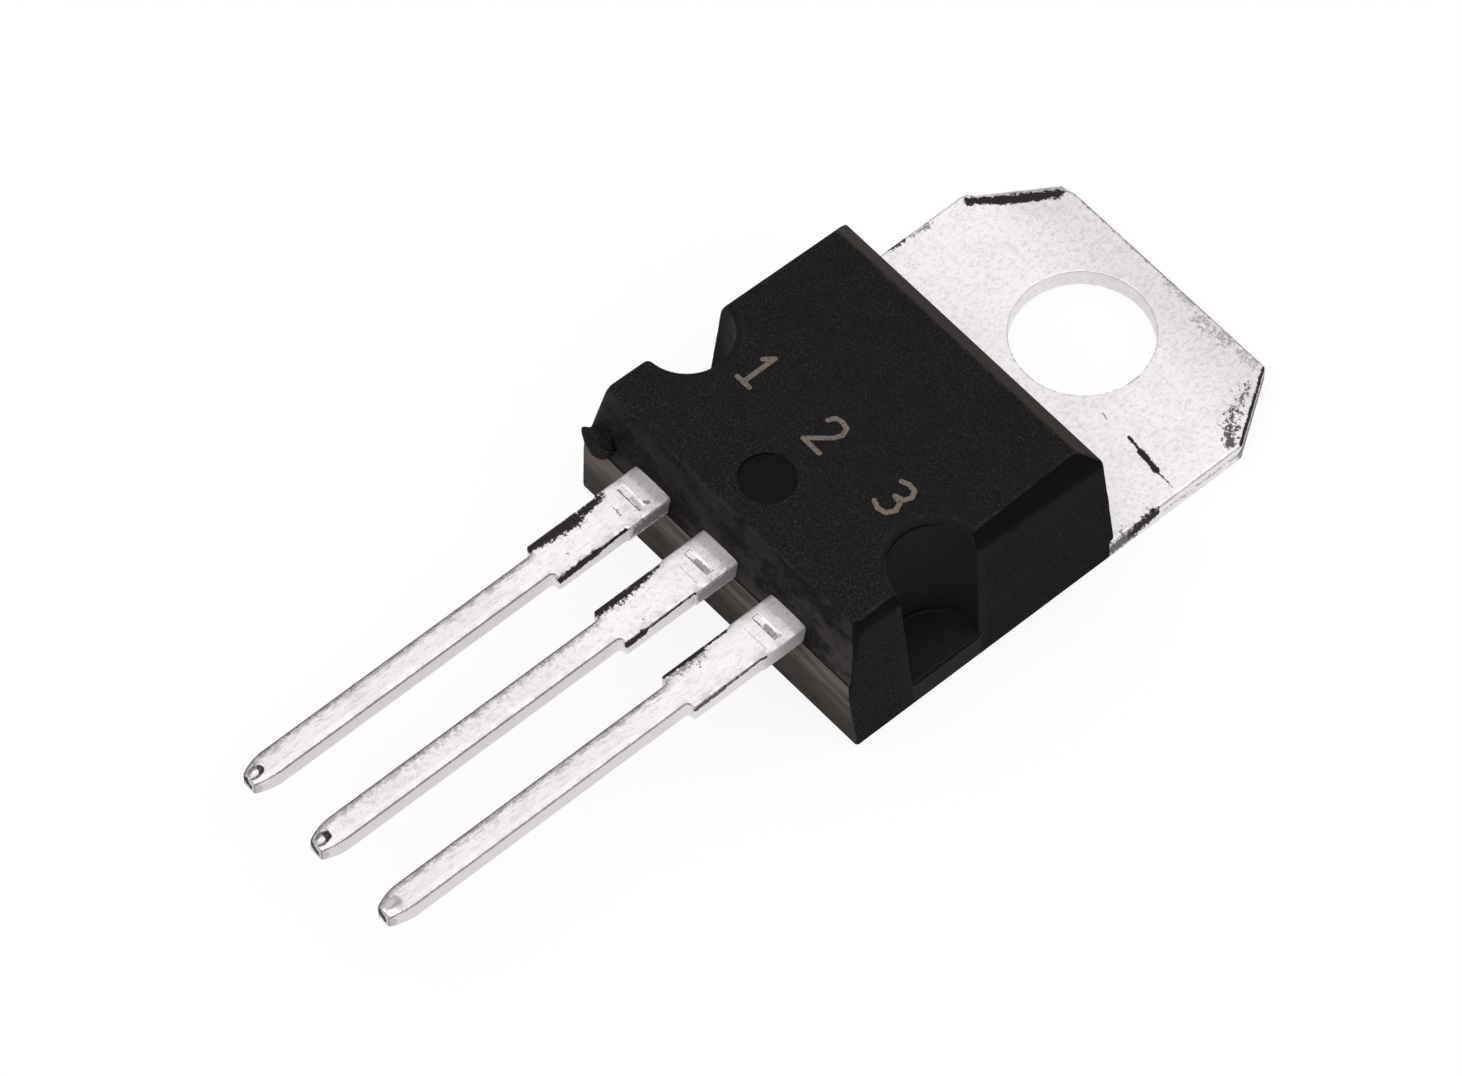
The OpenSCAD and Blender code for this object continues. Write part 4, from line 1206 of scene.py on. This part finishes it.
class REGULATOR_OT_stage(bpy.types.Operator):
    """Add the pale floor, the soft studio light and the camera"""
    bl_idname = "regulator.add_stage"
    bl_label = "Stage"

    def execute(self, context):
        scene = context.scene
        settings = scene.stage_settings
        self.add_floor(scene)
        self.add_sky(scene, settings.sky_strength)
        self.add_softbox(scene, settings.softbox_strength)
        self.add_camera(scene, settings)
        scene.view_settings.view_transform = "Standard"
        return {"FINISHED"}

    def add_floor(self, scene):
        reach, level = FLOOR_REACH, -FLOOR_DROP
        mesh = bpy.data.meshes.new("floor")
        corners = [(-reach, -reach, level), (reach, -reach, level),
                   (reach, reach, level), (-reach, reach, level)]
        mesh.from_pydata(corners, [], [(0, 1, 2, 3)])
        floor = bpy.data.objects.new("floor", mesh)
        scene.collection.objects.link(floor)
        f = Finish("floor_paper")
        shade = [0.98 * v for v in scene.finishes.floor]
        tone = f.blend(f.noise(0.2, 3.0), scene.finishes.floor, shade)
        paper = f.add("ShaderNodeBsdfDiffuse", {"Color": tone})
        glow = f.add("ShaderNodeEmission", {"Color": WHITE, "Strength": 1.0})
        path = f.add("ShaderNodeLightPath").outputs
        seen = f.math("MAXIMUM", path["Is Camera Ray"], path["Is Glossy Ray"])
        mixed = f.add("ShaderNodeMixShader", {0: f.math("MULTIPLY", seen, FLOOR_GLOW)})
        f.tree.links.new(paper.outputs[0], mixed.inputs[1])
        f.tree.links.new(glow.outputs[0], mixed.inputs[2])
        output = f.add("ShaderNodeOutputMaterial")
        f.tree.links.new(mixed.outputs[0], output.inputs["Surface"])
        mesh.materials.append(f.material)

    def add_sky(self, scene, strength):
        world = bpy.data.worlds.new("studio")
        scene.world = world
        world.use_nodes = True
        tree = world.node_tree
        tree.nodes.clear()
        node = tree.nodes.new
        link = tree.links.new
        direction = node("ShaderNodeTexCoord").outputs["Generated"]
        split = node("ShaderNodeSeparateXYZ")
        link(direction, split.inputs[0])
        height = node("ShaderNodeMapRange")
        height.interpolation_type = "SMOOTHSTEP"
        for name, value in (("From Min", SKY_LOW), ("From Max", SKY_HIGH),
                            ("To Min", SKY_LOW_LIGHT * strength),
                            ("To Max", SKY_HIGH_LIGHT * strength)):
            height.inputs[name].default_value = value
        link(split.outputs["Z"], height.inputs["Value"])
        soft = node("ShaderNodeBackground")
        link(height.outputs["Result"], soft.inputs["Strength"])
        plain = node("ShaderNodeBackground")
        plain.inputs["Strength"].default_value = 1.0
        for background in (soft, plain):
            background.inputs["Color"].default_value = (*WHITE, 1.0)
        chosen = node("ShaderNodeMixShader")
        link(node("ShaderNodeLightPath").outputs["Is Camera Ray"], chosen.inputs[0])
        link(soft.outputs[0], chosen.inputs[1])
        link(plain.outputs[0], chosen.inputs[2])
        link(chosen.outputs[0], node("ShaderNodeOutputWorld").inputs["Surface"])

    def add_softbox(self, scene, strength):
        for name, azimuth, elevation, share in SOFTBOXES:
            azimuth, elevation = math.radians(azimuth), math.radians(elevation)
            lamp = bpy.data.lights.new(name, "AREA")
            lamp.size = SOFTBOX_SIZE
            lamp.energy = strength * share * SOFTBOX_LIGHT * SOFTBOX_SIZE ** 2
            place = Vector((math.cos(elevation) * math.cos(azimuth),
                            math.cos(elevation) * math.sin(azimuth), math.sin(elevation)))
            piece = bpy.data.objects.new(name, lamp)
            piece.matrix_world = Matrix.Translation(Vector(SOFTBOX_AIM) + place * SOFTBOX_AWAY) @ (
                place.to_track_quat("Z", "Y").to_matrix().to_4x4())
            scene.collection.objects.link(piece)

    def add_camera(self, scene, settings):
        across, climb, turn = settings.azimuth, settings.elevation, settings.roll
        look = Vector((math.sin(across) * math.cos(climb), math.cos(across) * math.cos(climb),
                       -math.sin(climb)))
        right = look.cross(Vector((0.0, 0.0, 1.0))).normalized()
        up = right.cross(look)
        right, up = (right * math.cos(turn) + up * math.sin(turn),
                     up * math.cos(turn) - right * math.sin(turn))
        data = bpy.data.cameras.new("camera")
        data.sensor_fit = "HORIZONTAL"
        data.sensor_width = SENSOR_WIDTH
        data.lens = settings.focal_pixels / PHOTO_WIDTH * data.sensor_width
        data.clip_start = NEAR_CLIP
        camera = bpy.data.objects.new("camera", data)
        place = Vector(settings.target) - look * settings.distance
        camera.matrix_world = Matrix((
            (right.x, up.x, -look.x, place.x), (right.y, up.y, -look.y, place.y),
            (right.z, up.z, -look.z, place.z), (0.0, 0.0, 0.0, 1.0)))
        scene.collection.objects.link(camera)
        scene.camera = camera


OPERATORS = (REGULATOR_OT_housing, REGULATOR_OT_tab, REGULATOR_OT_outer_leads,
             REGULATOR_OT_inside, REGULATOR_OT_pin_numbers, REGULATOR_OT_stage)
GROUPS = (("housing_sizes", HousingSizes), ("strip_sizes", StripSizes),
          ("finishes", Finishes), ("stage_settings", StageSettings))


class REGULATOR_PT_panel(bpy.types.Panel):
    """Lists the pieces of the regulator and what a user would change"""
    bl_idname = "REGULATOR_PT_panel"
    bl_label = "Voltage regulator"
    bl_space_type = "VIEW_3D"
    bl_region_type = "UI"
    bl_category = "Regulator"

    def draw(self, context):
        column = self.layout.column(align=True)
        for operator in OPERATORS:
            column.operator(operator.bl_idname)
        for name, group in GROUPS:
            box = self.layout.box()
            box.label(text=group.__name__)
            settings = getattr(context.scene, name)
            for key in group.__annotations__:
                box.prop(settings, key)


def register():
    for name, group in GROUPS:
        bpy.utils.register_class(group)
        setattr(bpy.types.Scene, name, bpy.props.PointerProperty(type=group))
    for cls in (*OPERATORS, REGULATOR_PT_panel):
        bpy.utils.register_class(cls)


def unregister():
    for cls in (REGULATOR_PT_panel, *reversed(OPERATORS)):
        bpy.utils.unregister_class(cls)
    for name, group in reversed(GROUPS):
        delattr(bpy.types.Scene, name)
        bpy.utils.unregister_class(group)


def main():
    register()
    bpy.ops.regulator.add_housing()
    bpy.ops.regulator.add_tab()
    bpy.ops.regulator.add_outer_leads()
    bpy.ops.regulator.finish_inside()
    bpy.ops.regulator.add_pin_numbers()
    bpy.ops.regulator.add_stage()


if __name__ == "__main__":
    main()
